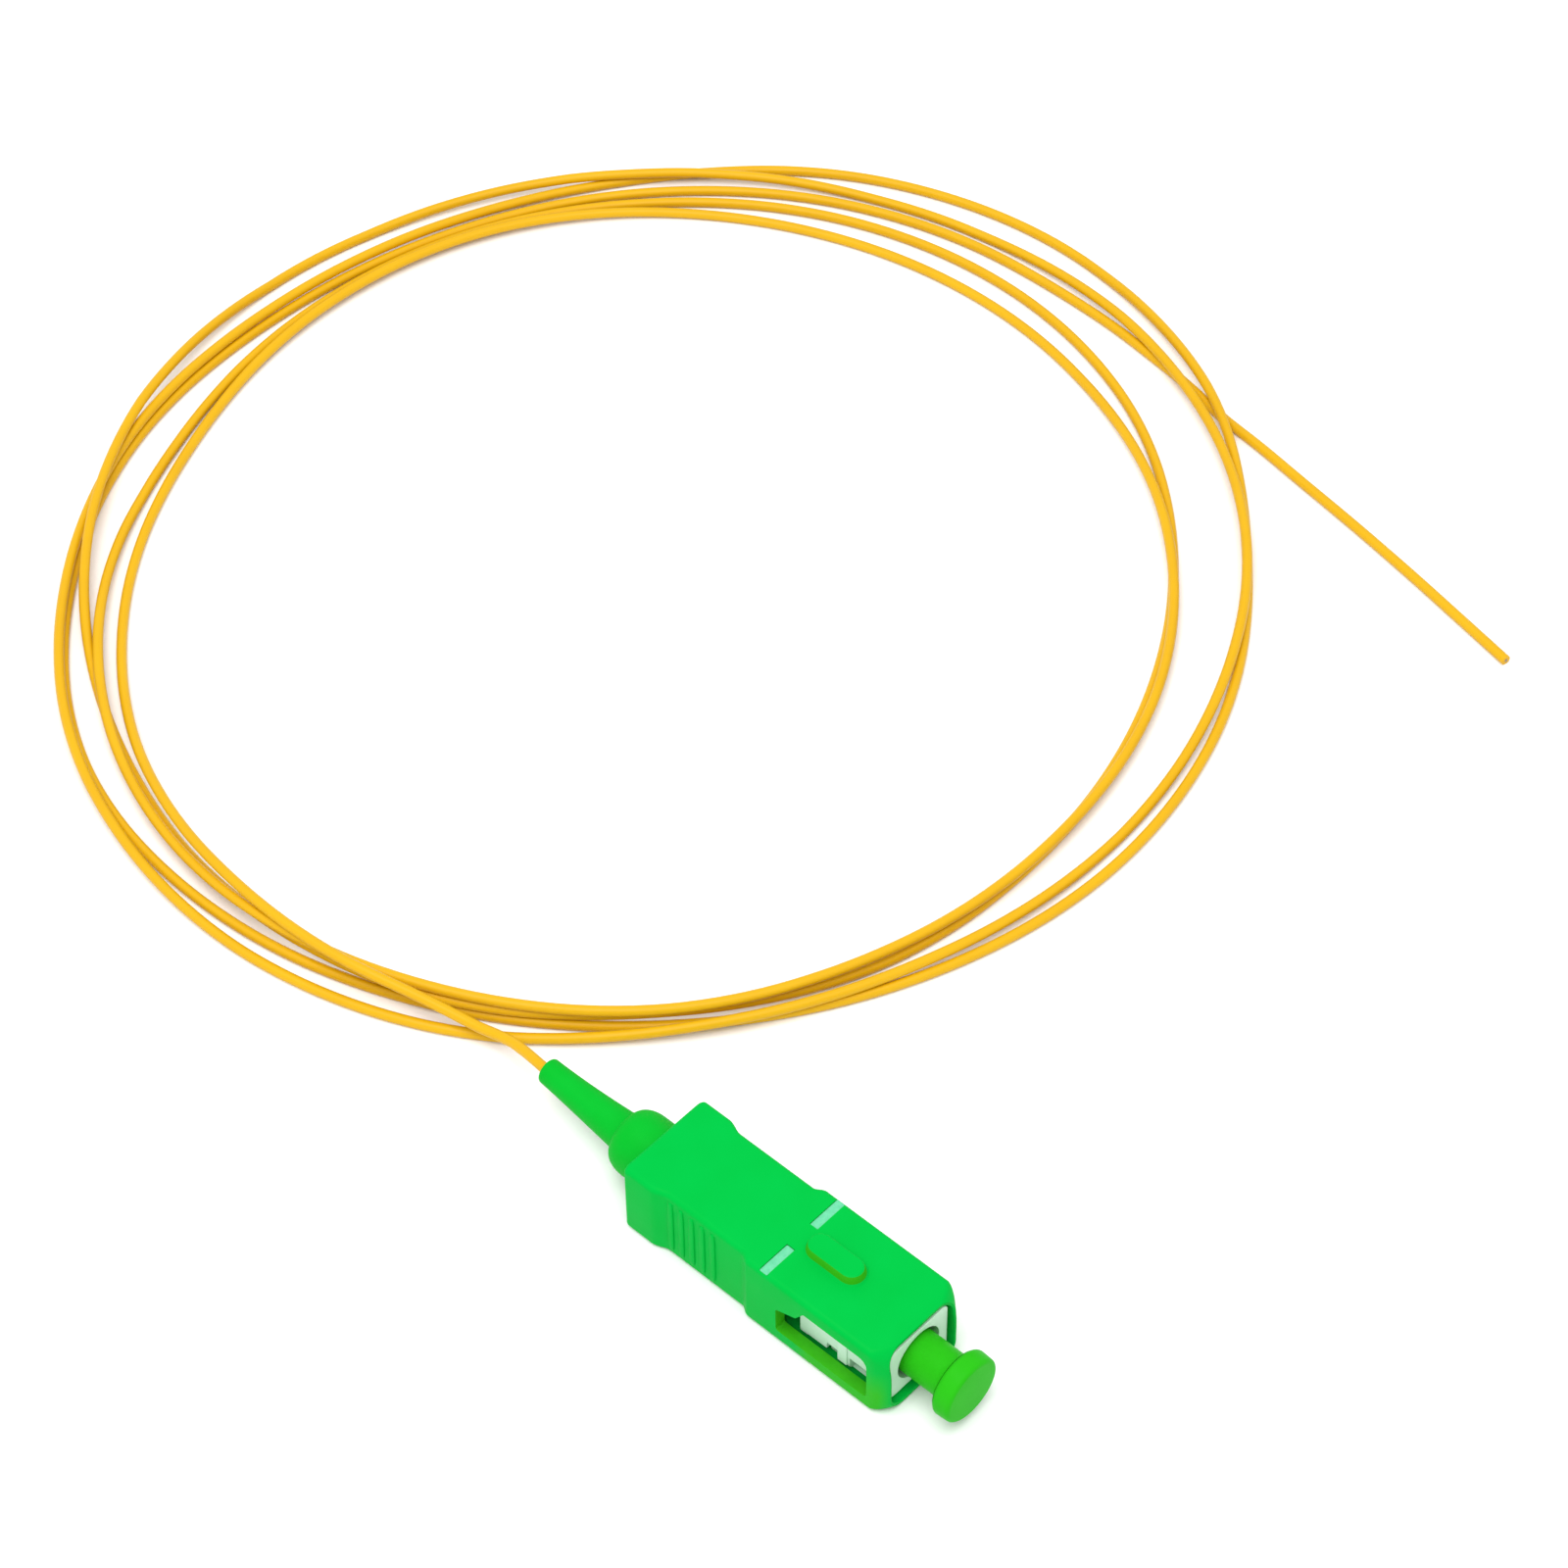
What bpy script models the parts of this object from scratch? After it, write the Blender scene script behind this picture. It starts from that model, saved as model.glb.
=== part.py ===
"""Fibre optic pigtail: a push-pull connector with an angled ferrule, on a coiled 0.9 mm buffered fibre.

Metres, +Z up. The connector lies along X with its ferrule towards +X, on the floor at z = 0.
Each "_behind" value is a distance from the grip's front face towards the boot.
"""

import math

import bmesh
import bpy
from mathutils import Vector
from mathutils.geometry import interpolate_bezier

GAP = 0.0003  # between pieces that touch or seat on each other
ROUND_SIDES = 24

# Grip
GRIP_LENGTH = 0.0265
GRIP_WIDTH = 0.0090
GRIP_HEIGHT = 0.0074
GRIP_SIDE_WALL = 0.0010
GRIP_TOP_WALL = 0.0006
GRIP_EDGE = 0.0005  # radius of the long edges
FRONT_REACH = 0.0014  # how far back the front's rounding runs
FRONT_SIDE_INSET = 0.0008
FRONT_TOP_INSET = 0.0002
FRONT_BOW = 0.0005  # how far the top and bottom stand behind the sides at the front
GRIP_REAR_ROUND = 0.0004
WAIST_INSET = 0.00045
WAIST_START_BEHIND = 0.0134
WAIST_END_BEHIND = 0.0231
WAIST_RAMP = 0.0010
RIB_COUNT = 6
RIB_DEPTH = 0.00018
RIB_WIDTH = 0.0005
WINDOW_FRONT_BEHIND = 0.0016
WINDOW_LENGTH = 0.0092
WINDOW_HEIGHT = 0.0046
KEY_FRONT_BEHIND = 0.0059
KEY_LENGTH = 0.0057
KEY_WIDTH = 0.0026
KEY_TOP_SHARE = 0.6  # of the width at its foot
KEY_HEIGHT = 0.0009
MARK_BEHIND = 0.01215
MARK_WIDTH = 0.0008
MARK_FROM_MIDDLE = 0.00125
MARK_DEPTH = 0.00015

# Plug frame
FRAME_RECESS = 0.0005  # its front face behind the grip's
FRAME_LENGTH = 0.0215
FRAME_EDGE = 0.0006
SHOULDER_BEHIND = 0.0062
SHOULDER_LENGTH = 0.0010
LATCH_RECESS_DEPTH = 0.0005
LATCH_RECESS_LENGTH = 0.0030
LATCH_RECESS_HEIGHT = 0.0026
LATCH_RECESS_BEHIND = 0.0072

# Ferrule and its flange
FERRULE_DIAMETER = 0.0025
FERRULE_LENGTH = 0.0105
FERRULE_AHEAD = 0.0008  # its tip in front of the grip
FERRULE_ANGLE = math.radians(8)
FERRULE_CHAMFER = 0.0003
FLANGE_FLOOR = 0.0006
TAIL_DIAMETER = 0.0021
TAIL_CLEARANCE = 0.0010  # between its end and the rear body
FLOAT_TRAVEL = 0.0015

# Spring
SPRING_WIRE = 0.00045
SPRING_TURNS = 6
SPRING_SIDES = 6
SPRING_STEPS = 14

# Rear body
REAR_BODY_LENGTH = 0.0042  # the part inside the plug frame
STUB_BARB = 0.0002

# Boot
BOOT_WALL = 0.0006  # round the rear body's stub
COLLAR_BEHIND = 0.0042  # the collar's end behind the grip
COLLAR_ROUND = 0.0013
NECK_DIAMETER = 0.0033
TIP_DIAMETER = 0.0022
BOOT_BEHIND = 0.0127  # its tip behind the grip

# Dust cap
CAP_STEM_DIAMETER = 0.0038
CAP_FLANGE_DIAMETER = 0.0058
CAP_FLANGE_LENGTH = 0.0017
CAP_FLANGE_ROUND = 0.0005
CAP_FILLET = 0.0007
CAP_AHEAD = 0.0048  # its end in front of the grip
CAP_CLEARANCE = 0.0004  # between its stem and the plug frame's bore

# Fibre
FIBRE_DIAMETER = 0.0009
COIL_CENTRE = (-0.0719, 0.0465)  # from the middle of the grip's front face
COIL_RADIUS = 0.0476  # to the middle of its turns
COIL_WIDTH = 0.0084  # across its turns
COIL_HEIGHT = 0.0022
LEAD_ROUTE = [
    (-0.0396, 0.0000, 0.0037),
    (-0.0410, 0.0003, 0.0036),
    (-0.0425, 0.0007, 0.0031),
    (-0.0440, 0.0010, 0.0026),
    (-0.0455, 0.0011, 0.0021),
]
TAIL_ROUTE = [
    (-0.0492, 0.0938, 0.00048),
    (-0.0462, 0.0936, 0.00046),
    (-0.0426, 0.0931, 0.00046),
    (-0.0372, 0.0922, 0.00046),
    (-0.0305, 0.0911, 0.00046),
    (-0.0235, 0.0898, 0.00046),
    (-0.0172, 0.0885, 0.00046),
    (-0.0115, 0.0873, 0.00046),
]

# Places that follow from the sizes above
AXIS_Z = GRIP_HEIGHT / 2
CONNECTOR_LENGTH = CAP_AHEAD + GRIP_LENGTH + BOOT_BEHIND
FRONT_X = CONNECTOR_LENGTH / 2 - CAP_AHEAD
CAVITY_WIDTH = GRIP_WIDTH - 2 * GRIP_SIDE_WALL
CAVITY_HEIGHT = GRIP_HEIGHT - 2 * GRIP_TOP_WALL
FRAME_WIDTH = CAVITY_WIDTH - 2 * GAP
FRAME_HEIGHT = CAVITY_HEIGHT - 2 * GAP
FRAME_BORE = CAP_STEM_DIAMETER + 2 * CAP_CLEARANCE
FRAME_END_BEHIND = FRAME_RECESS + FRAME_LENGTH
FLANGE_DIAMETER = FRAME_BORE - 2 * GAP
FLANGE_FRONT_BEHIND = SHOULDER_BEHIND + SHOULDER_LENGTH + GAP
FERRULE_END_BEHIND = FERRULE_LENGTH - FERRULE_AHEAD
FLANGE_END_BEHIND = FERRULE_END_BEHIND + GAP + FLANGE_FLOOR
REAR_BODY_FRONT_BEHIND = FRAME_END_BEHIND - REAR_BODY_LENGTH
TAIL_END_BEHIND = REAR_BODY_FRONT_BEHIND - TAIL_CLEARANCE
COLLAR_DIAMETER = CAVITY_HEIGHT - 2 * GAP
STUB_DIAMETER = COLLAR_DIAMETER - 2 * (BOOT_WALL + GAP + STUB_BARB)
STUB_END_BEHIND = GRIP_LENGTH + COLLAR_BEHIND - COLLAR_ROUND - GAP
CAP_BACK_BEHIND = SHOULDER_BEHIND - FLOAT_TRAVEL - GAP
FIBRE_BORE = FIBRE_DIAMETER + 2 * GAP


def at(behind):
    """X of a place that lies a distance behind the grip's front face."""
    return FRONT_X - behind


def clear_objects():
    for obj in list(bpy.data.objects):
        bpy.data.objects.remove(obj, do_unlink=True)


def material(name, colour, roughness, metallic=0.0):
    made = bpy.data.materials.new(name)
    made.use_nodes = True
    shader = made.node_tree.nodes["Principled BSDF"]
    shader.inputs["Base Color"].default_value = (*colour, 1.0)
    shader.inputs["Roughness"].default_value = roughness
    shader.inputs["Metallic"].default_value = metallic
    return made


def add_mesh_object(name, bm, mat=None, smooth=False):
    bmesh.ops.recalc_face_normals(bm, faces=bm.faces)
    mesh = bpy.data.meshes.new(name)
    bm.to_mesh(mesh)
    bm.free()
    if smooth:
        mesh.shade_smooth()
        mesh.set_sharp_from_angle(angle=math.radians(35))
    if mat:
        mesh.materials.append(mat)
    obj = bpy.data.objects.new(name, mesh)
    bpy.context.scene.collection.objects.link(obj)
    return obj


def bridge(bm, loop_a, loop_b):
    count = len(loop_a)
    for i in range(count):
        j = (i + 1) % count
        bm.faces.new((loop_a[i], loop_a[j], loop_b[j], loop_b[i]))


def turned(name, outline, mat=None, sides=ROUND_SIDES):
    """Turned piece on the connector's axis, from a closed outline of (behind, radius) points."""
    bm = bmesh.new()
    rings = []
    for behind, radius in outline:
        if radius == 0:
            rings.append([bm.verts.new((at(behind), 0, AXIS_Z))])
            continue
        ring = []
        for i in range(sides):
            angle = 2 * math.pi * i / sides
            place = (at(behind), radius * math.cos(angle), AXIS_Z + radius * math.sin(angle))
            ring.append(bm.verts.new(place))
        rings.append(ring)
    for a, b in zip(rings, rings[1:] + rings[:1]):
        if len(a) > 1 and len(b) > 1:
            bridge(bm, a, b)
        elif len(a) > 1 or len(b) > 1:
            pole = (a if len(a) == 1 else b)[0]
            rim = b if len(a) == 1 else a
            for i in range(sides):
                bm.faces.new((rim[i], rim[(i + 1) % sides], pole))
    return add_mesh_object(name, bm, mat, smooth=True)


def rounded_rectangle(half_width, half_height, radius, steps=4, side_steps=1):
    """Outline with rounded corners, whose upright sides are cut into side_steps."""
    corners = ((1, 1), (-1, 1), (-1, -1), (1, -1))
    points = []
    for quarter, (side, top) in enumerate(corners):
        y = side * (half_width - radius)
        z = top * (half_height - radius)
        for i in range(steps + 1):
            angle = math.radians(90 * (quarter + i / steps))
            points.append((y + radius * math.cos(angle), z + radius * math.sin(angle)))
        if quarter in (1, 3):
            for i in range(1, side_steps):
                points.append((side * half_width, z * (1 - 2 * i / side_steps)))
    return points


def lofted(name, sections, mat=None, bow=0.0, bow_reach=0.0):
    """Body through rounded rectangles, each given as (behind, half width, half height, edge radius)."""
    bm = bmesh.new()
    loops = []
    for behind, half_width, half_height, radius in sections:
        share = max(0.0, 1 - behind / bow_reach) if bow_reach else 0.0
        loop = []
        for y, z in rounded_rectangle(half_width, half_height, radius, side_steps=6 if bow else 1):
            set_back = bow * share * (z / half_height) ** 2
            loop.append(bm.verts.new((at(behind + set_back), y, AXIS_Z + z)))
        loops.append(loop)
    for a, b in zip(loops, loops[1:]):
        bridge(bm, a, b)
    for loop in (loops[0], loops[-1]):
        close_end(bm, loop)
    return add_mesh_object(name, bm, mat)


def close_end(bm, loop):
    """Close an end that may be bowed, with level strips from one side to the other."""
    right = sorted((v for v in loop if v.co.y > 0), key=lambda v: v.co.z)
    left = sorted((v for v in loop if v.co.y < 0), key=lambda v: v.co.z)
    for a, b, c, d in zip(right, right[1:], left[1:], left):
        bm.faces.new((a, b, c, d))


def block(name, low, high):
    bm = bmesh.new()
    bmesh.ops.create_cube(bm, size=1)
    size = Vector(high) - Vector(low)
    middle = (Vector(high) + Vector(low)) / 2
    for vertex in bm.verts:
        vertex.co = Vector(a * b for a, b in zip(vertex.co, size)) + middle
    return add_mesh_object(name, bm)


def combine(obj, tool, operation):
    modifier = obj.modifiers.new(tool.name, "BOOLEAN")
    modifier.operation = operation
    modifier.object = tool
    tool.hide_render = True
    tool.display_type = "WIRE"
    return modifier


def grip_half_width(behind):
    """Half width of the grip, with its waist."""
    into = min(behind - WAIST_START_BEHIND, WAIST_END_BEHIND - behind)
    share = min(1.0, max(0.0, into / WAIST_RAMP))
    return GRIP_WIDTH / 2 - WAIST_INSET * (1 - math.cos(math.pi * share)) / 2


def grip_sections():
    half_height = GRIP_HEIGHT / 2
    sections = []
    for i in range(6):
        left = (1 - i / 5) ** 2
        half_width = GRIP_WIDTH / 2 - FRONT_SIDE_INSET * left
        sections.append((FRONT_REACH * i / 5, half_width, half_height - FRONT_TOP_INSET * left, GRIP_EDGE))
    places = [WAIST_START_BEHIND + WAIST_RAMP * i / 3 for i in range(4)]
    for behind in places:
        sections.append((behind, grip_half_width(behind), half_height, GRIP_EDGE))
    first = WAIST_START_BEHIND + WAIST_RAMP
    pitch = (WAIST_END_BEHIND - WAIST_START_BEHIND - 2 * WAIST_RAMP) / RIB_COUNT
    waist = GRIP_WIDTH / 2 - WAIST_INSET
    for i in range(RIB_COUNT):
        groove = first + pitch * (i + 0.5)
        ramp = RIB_WIDTH / 4
        sections.append((groove - RIB_WIDTH / 2, waist, half_height, GRIP_EDGE))
        sections.append((groove - RIB_WIDTH / 2 + ramp, waist - RIB_DEPTH, half_height, GRIP_EDGE))
        sections.append((groove + RIB_WIDTH / 2 - ramp, waist - RIB_DEPTH, half_height, GRIP_EDGE))
        sections.append((groove + RIB_WIDTH / 2, waist, half_height, GRIP_EDGE))
    for i in range(4):
        behind = WAIST_END_BEHIND - WAIST_RAMP * (3 - i) / 3
        sections.append((behind, grip_half_width(behind), half_height, GRIP_EDGE))
    for i in range(3):
        inset = GRIP_REAR_ROUND * (1 - math.cos(math.radians(45 * i))) / 2
        behind = GRIP_LENGTH - GRIP_REAR_ROUND * (1 - math.sin(math.radians(45 * i)))
        sections.append((behind, GRIP_WIDTH / 2 - inset, half_height - inset, GRIP_EDGE))
    return sections


def make_outer_housing(mat):
    grip = lofted("outer_housing", grip_sections(), mat, FRONT_BOW, 1.5 * FRONT_REACH)
    past = 2 * FRONT_BOW
    half_width = CAVITY_WIDTH / 2
    half_height = CAVITY_HEIGHT / 2
    cavity = lofted(
        "grip_cavity",
        [
            (-past, half_width, half_height, FRAME_EDGE + GAP),
            (GRIP_LENGTH + past, half_width, half_height, FRAME_EDGE + GAP),
        ],
    )
    combine(grip, cavity, "DIFFERENCE")
    window = block(
        "grip_windows",
        (at(WINDOW_FRONT_BEHIND + WINDOW_LENGTH), -GRIP_WIDTH, AXIS_Z - WINDOW_HEIGHT / 2),
        (at(WINDOW_FRONT_BEHIND), GRIP_WIDTH, AXIS_Z + WINDOW_HEIGHT / 2),
    )
    combine(grip, window, "DIFFERENCE")
    for side in (-1, 1):
        reach = sorted((side * MARK_FROM_MIDDLE, side * GRIP_WIDTH))
        mark = block(
            f"mark_cut_{'near' if side < 0 else 'far'}",
            (at(MARK_BEHIND + MARK_WIDTH / 2), reach[0], GRIP_HEIGHT - MARK_DEPTH),
            (at(MARK_BEHIND - MARK_WIDTH / 2), reach[1], GRIP_HEIGHT + MARK_WIDTH),
        )
        combine(grip, mark, "DIFFERENCE")
    combine(grip, make_key(), "UNION")
    return grip


def make_key():
    """Raised key on the grip's top, a slab with round ends and sloping sides that starts inside the wall."""
    bm = bmesh.new()
    radius = KEY_WIDTH / 2
    ends = (at(KEY_FRONT_BEHIND + radius), at(KEY_FRONT_BEHIND + KEY_LENGTH - radius))
    steps = 6
    loops = []
    for above in (-GRIP_TOP_WALL / 2, KEY_HEIGHT):
        share = 1 - (1 - KEY_TOP_SHARE) * above / KEY_HEIGHT
        loop = []
        for end, first in zip(ends, (-90, 90)):
            for i in range(steps + 1):
                angle = math.radians(first + 180 * i / steps)
                out = Vector((math.cos(angle), math.sin(angle), 0)) * radius * share
                loop.append(bm.verts.new(out + Vector((end, 0, GRIP_HEIGHT + above))))
        loops.append(loop)
    for a, b in zip(loops, loops[1:]):
        bridge(bm, a, b)
    bm.faces.new(loops[0])
    bm.faces.new(loops[-1])
    return add_mesh_object("key_slab", bm)


def make_inner_housing(mat):
    front = FRAME_RECESS
    end = FRAME_END_BEHIND
    sections = [
        (front, FRAME_WIDTH / 2, FRAME_HEIGHT / 2, FRAME_EDGE),
        (end, FRAME_WIDTH / 2, FRAME_HEIGHT / 2, FRAME_EDGE),
    ]
    frame = lofted("inner_housing", sections, mat)
    bore = FRAME_BORE / 2
    neck = FERRULE_DIAMETER / 2 + GAP
    shoulder_end = SHOULDER_BEHIND + SHOULDER_LENGTH
    past = FRAME_RECESS
    bores = turned(
        "frame_bores",
        [
            (front - past, 0),
            (front - past, bore),
            (SHOULDER_BEHIND, bore),
            (SHOULDER_BEHIND, neck),
            (shoulder_end, neck),
            (shoulder_end, bore),
            (end + past, bore),
            (end + past, 0),
        ],
    )
    combine(frame, bores, "DIFFERENCE")
    low = AXIS_Z - LATCH_RECESS_HEIGHT / 2
    for side in (-1, 1):
        reach = sorted((side * (FRAME_WIDTH / 2 - LATCH_RECESS_DEPTH), side * GRIP_WIDTH))
        recess = block(
            f"latch_recess_{'near' if side < 0 else 'far'}",
            (at(LATCH_RECESS_BEHIND + LATCH_RECESS_LENGTH), reach[0], low),
            (at(LATCH_RECESS_BEHIND), reach[1], low + LATCH_RECESS_HEIGHT),
        )
        combine(frame, recess, "DIFFERENCE")
    return frame


def make_ferrule(mat):
    """Ceramic ferrule with a chamfered tip, whose end face leans by 8 degrees."""
    radius = FERRULE_DIAMETER / 2
    ferrule = turned(
        "ferrule",
        [
            (-FERRULE_AHEAD, 0),
            (-FERRULE_AHEAD, radius - FERRULE_CHAMFER),
            (-FERRULE_AHEAD + 2 * FERRULE_CHAMFER, radius),
            (FERRULE_END_BEHIND, radius),
            (FERRULE_END_BEHIND, 0),
        ],
        mat,
    )
    tip = at(-FERRULE_AHEAD)
    for vertex in ferrule.data.vertices:
        if abs(vertex.co.x - tip) < FERRULE_CHAMFER / 2:
            vertex.co.x -= (vertex.co.z - AXIS_Z) * math.tan(FERRULE_ANGLE)
    return ferrule


def make_ferrule_flange(mat):
    cup = FERRULE_DIAMETER / 2 + GAP
    bore = FIBRE_BORE / 2
    tail = TAIL_DIAMETER / 2
    rim = FLANGE_DIAMETER / 2
    cup_floor = FERRULE_END_BEHIND + GAP
    return turned(
        "ferrule_flange",
        [
            (FLANGE_FRONT_BEHIND, cup),
            (FLANGE_FRONT_BEHIND, rim),
            (FLANGE_END_BEHIND, rim),
            (FLANGE_END_BEHIND, tail),
            (TAIL_END_BEHIND, tail),
            (TAIL_END_BEHIND, bore),
            (cup_floor, bore),
            (cup_floor, cup),
        ],
        mat,
    )


def make_spring(mat):
    """Round wire on a helix, from the flange to the rear body."""
    bm = bmesh.new()
    wire = SPRING_WIRE / 2
    start = FLANGE_END_BEHIND + GAP + wire
    end = REAR_BODY_FRONT_BEHIND - GAP - wire
    radius = TAIL_DIAMETER / 2 + GAP + wire
    steps = SPRING_TURNS * SPRING_STEPS
    rings = []
    for i in range(steps + 1):
        turn = 2 * math.pi * i / SPRING_STEPS
        out = Vector((0, math.cos(turn), math.sin(turn)))
        centre = Vector((at(start + (end - start) * i / steps), 0, AXIS_Z)) + radius * out
        ring = []
        for k in range(SPRING_SIDES):
            angle = 2 * math.pi * k / SPRING_SIDES
            ring.append(bm.verts.new(centre + wire * (math.cos(angle) * out + Vector((math.sin(angle), 0, 0)))))
        rings.append(ring)
    for a, b in zip(rings, rings[1:]):
        bridge(bm, a, b)
    bm.faces.new(rings[0])
    bm.faces.new(rings[-1])
    return add_mesh_object("spring", bm, mat, smooth=True)


def make_stop_ring(mat):
    body = FRAME_BORE / 2 - GAP
    stub = STUB_DIAMETER / 2
    bore = FIBRE_BORE / 2
    well = TAIL_DIAMETER / 2 + GAP
    front = REAR_BODY_FRONT_BEHIND
    shoulder = FRAME_END_BEHIND
    end = STUB_END_BEHIND
    well_floor = max(TAIL_END_BEHIND + FLOAT_TRAVEL + GAP, front + GAP)
    return turned(
        "stop_ring",
        [
            (front, well),
            (front, body),
            (shoulder, body),
            (shoulder, stub),
            (end - 3 * STUB_BARB, stub),
            (end - 3 * STUB_BARB, stub + STUB_BARB),
            (end, stub - STUB_BARB),
            (end, bore),
            (well_floor, bore),
            (well_floor, well),
        ],
        mat,
    )


def make_boot(mat):
    """Soft boot: a collar that the grip slides over, with a round shoulder and a hollow taper behind it."""
    inner = COLLAR_DIAMETER / 2 - BOOT_WALL
    bore = FIBRE_BORE / 2
    collar = COLLAR_DIAMETER / 2
    neck = NECK_DIAMETER / 2
    tip = TIP_DIAMETER / 2
    front = FRAME_END_BEHIND + GAP
    shoulder_end = GRIP_LENGTH + COLLAR_BEHIND
    end = GRIP_LENGTH + BOOT_BEHIND
    outline = [(front, inner), (front, collar)]
    for i in range(6):
        angle = math.radians(90 * i / 5)
        behind = shoulder_end - COLLAR_ROUND * (1 - math.sin(angle))
        outline.append((behind, neck + (collar - neck) * math.cos(angle)))
    for i in range(1, 8):
        share = i / 7
        behind = shoulder_end + (end - shoulder_end) * share
        outline.append((behind, tip + (neck - tip) * (1 - share) ** 2))
    outline += [(end, bore), (STUB_END_BEHIND + 2 * GAP, bore), (STUB_END_BEHIND + GAP, inner)]
    return turned("boot", outline, mat)


def make_dust_cap(mat):
    bore = FERRULE_DIAMETER / 2 + GAP
    stem = CAP_STEM_DIAMETER / 2
    rim = CAP_FLANGE_DIAMETER / 2
    flange_back = -CAP_AHEAD + CAP_FLANGE_LENGTH
    outline = [(CAP_BACK_BEHIND, bore), (CAP_BACK_BEHIND, stem)]
    for i in range(4):
        angle = math.radians(90 * i / 3)
        outline.append(
            (
                flange_back + CAP_FILLET * (1 - math.sin(angle)),
                stem + CAP_FILLET * (1 - math.cos(angle)),
            )
        )
    for first, middle in ((0, flange_back - CAP_FLANGE_ROUND), (90, -CAP_AHEAD + CAP_FLANGE_ROUND)):
        for i in range(4):
            angle = math.radians(first + 90 * i / 3)
            outline.append(
                (
                    middle + CAP_FLANGE_ROUND * math.cos(angle),
                    rim - CAP_FLANGE_ROUND + CAP_FLANGE_ROUND * math.sin(angle),
                )
            )
    outline += [(-CAP_AHEAD, 0), (-FERRULE_AHEAD - GAP, 0), (-FERRULE_AHEAD - GAP, bore)]
    return turned("dust_cap", outline, mat)


def smooth_points(route, count):
    """Points read from a smooth curve through a route's own points."""
    points = [Vector(p) for p in route]
    slopes = []
    for i in range(len(points)):
        before = points[max(i - 1, 0)]
        after = points[min(i + 1, len(points) - 1)]
        slopes.append((after - before) / (2 if 0 < i < len(points) - 1 else 1))
    per_span = max(2, round(count / (len(points) - 1)) + 1)
    read = []
    for a, b, slope_a, slope_b in zip(points, points[1:], slopes, slopes[1:]):
        span = interpolate_bezier(a, a + slope_a / 3, b - slope_b / 3, b, per_span)
        read += span if not read else span[1:]
    return read


def make_fibre(name, route, count, mat):
    curve = bpy.data.curves.new(name, "CURVE")
    curve.dimensions = "3D"
    curve.bevel_depth = FIBRE_DIAMETER / 2
    curve.bevel_resolution = 2
    curve.use_fill_caps = True
    points = smooth_points(route, count)
    spline = curve.splines.new("POLY")
    spline.points.add(len(points) - 1)
    for spot, place in zip(spline.points, points):
        spot.co = (*place, 1.0)
    curve.materials.append(mat)
    obj = bpy.data.objects.new(name, curve)
    bpy.context.scene.collection.objects.link(obj)
    return obj


def from_front(route):
    """A route given from the grip's front face, in the model's own frame."""
    return [(FRONT_X + x, y, z) for x, y, z in route]


def make_fibre_lead(mat):
    """The fibre from the flange's tail, through the rear body and the boot, down to the coil."""
    start = TAIL_END_BEHIND - FIBRE_DIAMETER
    straight = [(-start, 0, AXIS_Z), (-(start + GRIP_LENGTH) / 2, 0, AXIS_Z), (-GRIP_LENGTH, 0, AXIS_Z)]
    return make_fibre("fibre_lead", from_front(straight + LEAD_ROUTE), 30, mat)


def make_fibre_coil(mat):
    """The coil's outer shape: a ring with a rounded section, lying on the floor."""
    bm = bmesh.new()
    half_height = COIL_HEIGHT / 2
    section = rounded_rectangle(COIL_WIDTH / 2, half_height, FIBRE_DIAMETER, steps=2)
    steps = 72
    loops = []
    for i in range(steps):
        angle = 2 * math.pi * i / steps
        loop = []
        for across, up in section:
            radius = COIL_RADIUS + across
            x = FRONT_X + COIL_CENTRE[0] + radius * math.cos(angle)
            y = COIL_CENTRE[1] + radius * math.sin(angle)
            loop.append(bm.verts.new((x, y, half_height + up)))
        loops.append(loop)
    for a, b in zip(loops, loops[1:] + loops[:1]):
        bridge(bm, a, b)
    return add_mesh_object("fibre_coil", bm, mat, smooth=True)


def main():
    clear_objects()
    green = material("green_pbt", (0.0, 0.62, 0.09), 0.42)
    white = material("white_pbt", (0.72, 0.78, 0.74), 0.45)
    zirconia = material("zirconia", (0.86, 0.85, 0.82), 0.15)
    nickel = material("nickel_plate", (0.70, 0.68, 0.64), 0.28, 1.0)
    steel = material("spring_steel", (0.55, 0.55, 0.56), 0.30, 1.0)
    soft_green = material("boot_elastomer", (0.01, 0.58, 0.06), 0.55)
    cap_green = material("cap_polyethylene", (0.07, 0.65, 0.05), 0.40)
    yellow = material("yellow_buffer", (0.95, 0.48, 0.01), 0.40)
    make_outer_housing(green)
    make_inner_housing(white)
    make_ferrule(zirconia)
    make_ferrule_flange(nickel)
    make_spring(steel)
    make_stop_ring(nickel)
    make_boot(soft_green)
    make_dust_cap(cap_green)
    make_fibre_lead(yellow)
    make_fibre_coil(yellow)
    make_fibre("fibre_tail", from_front(TAIL_ROUTE), 24, yellow)


main()
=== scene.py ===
"""Looks of a fibre optic pigtail: an angle-polished push-pull plug on a coiled yellow 0.9 mm fibre.

Sizes are in millimetres unless they say otherwise, and lengths along the plug are distances behind the
grip's front face. The model itself is in metres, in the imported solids' frame.
"""

import math

import bmesh
import bpy
import numpy as np
from mathutils import Matrix, Vector


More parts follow.
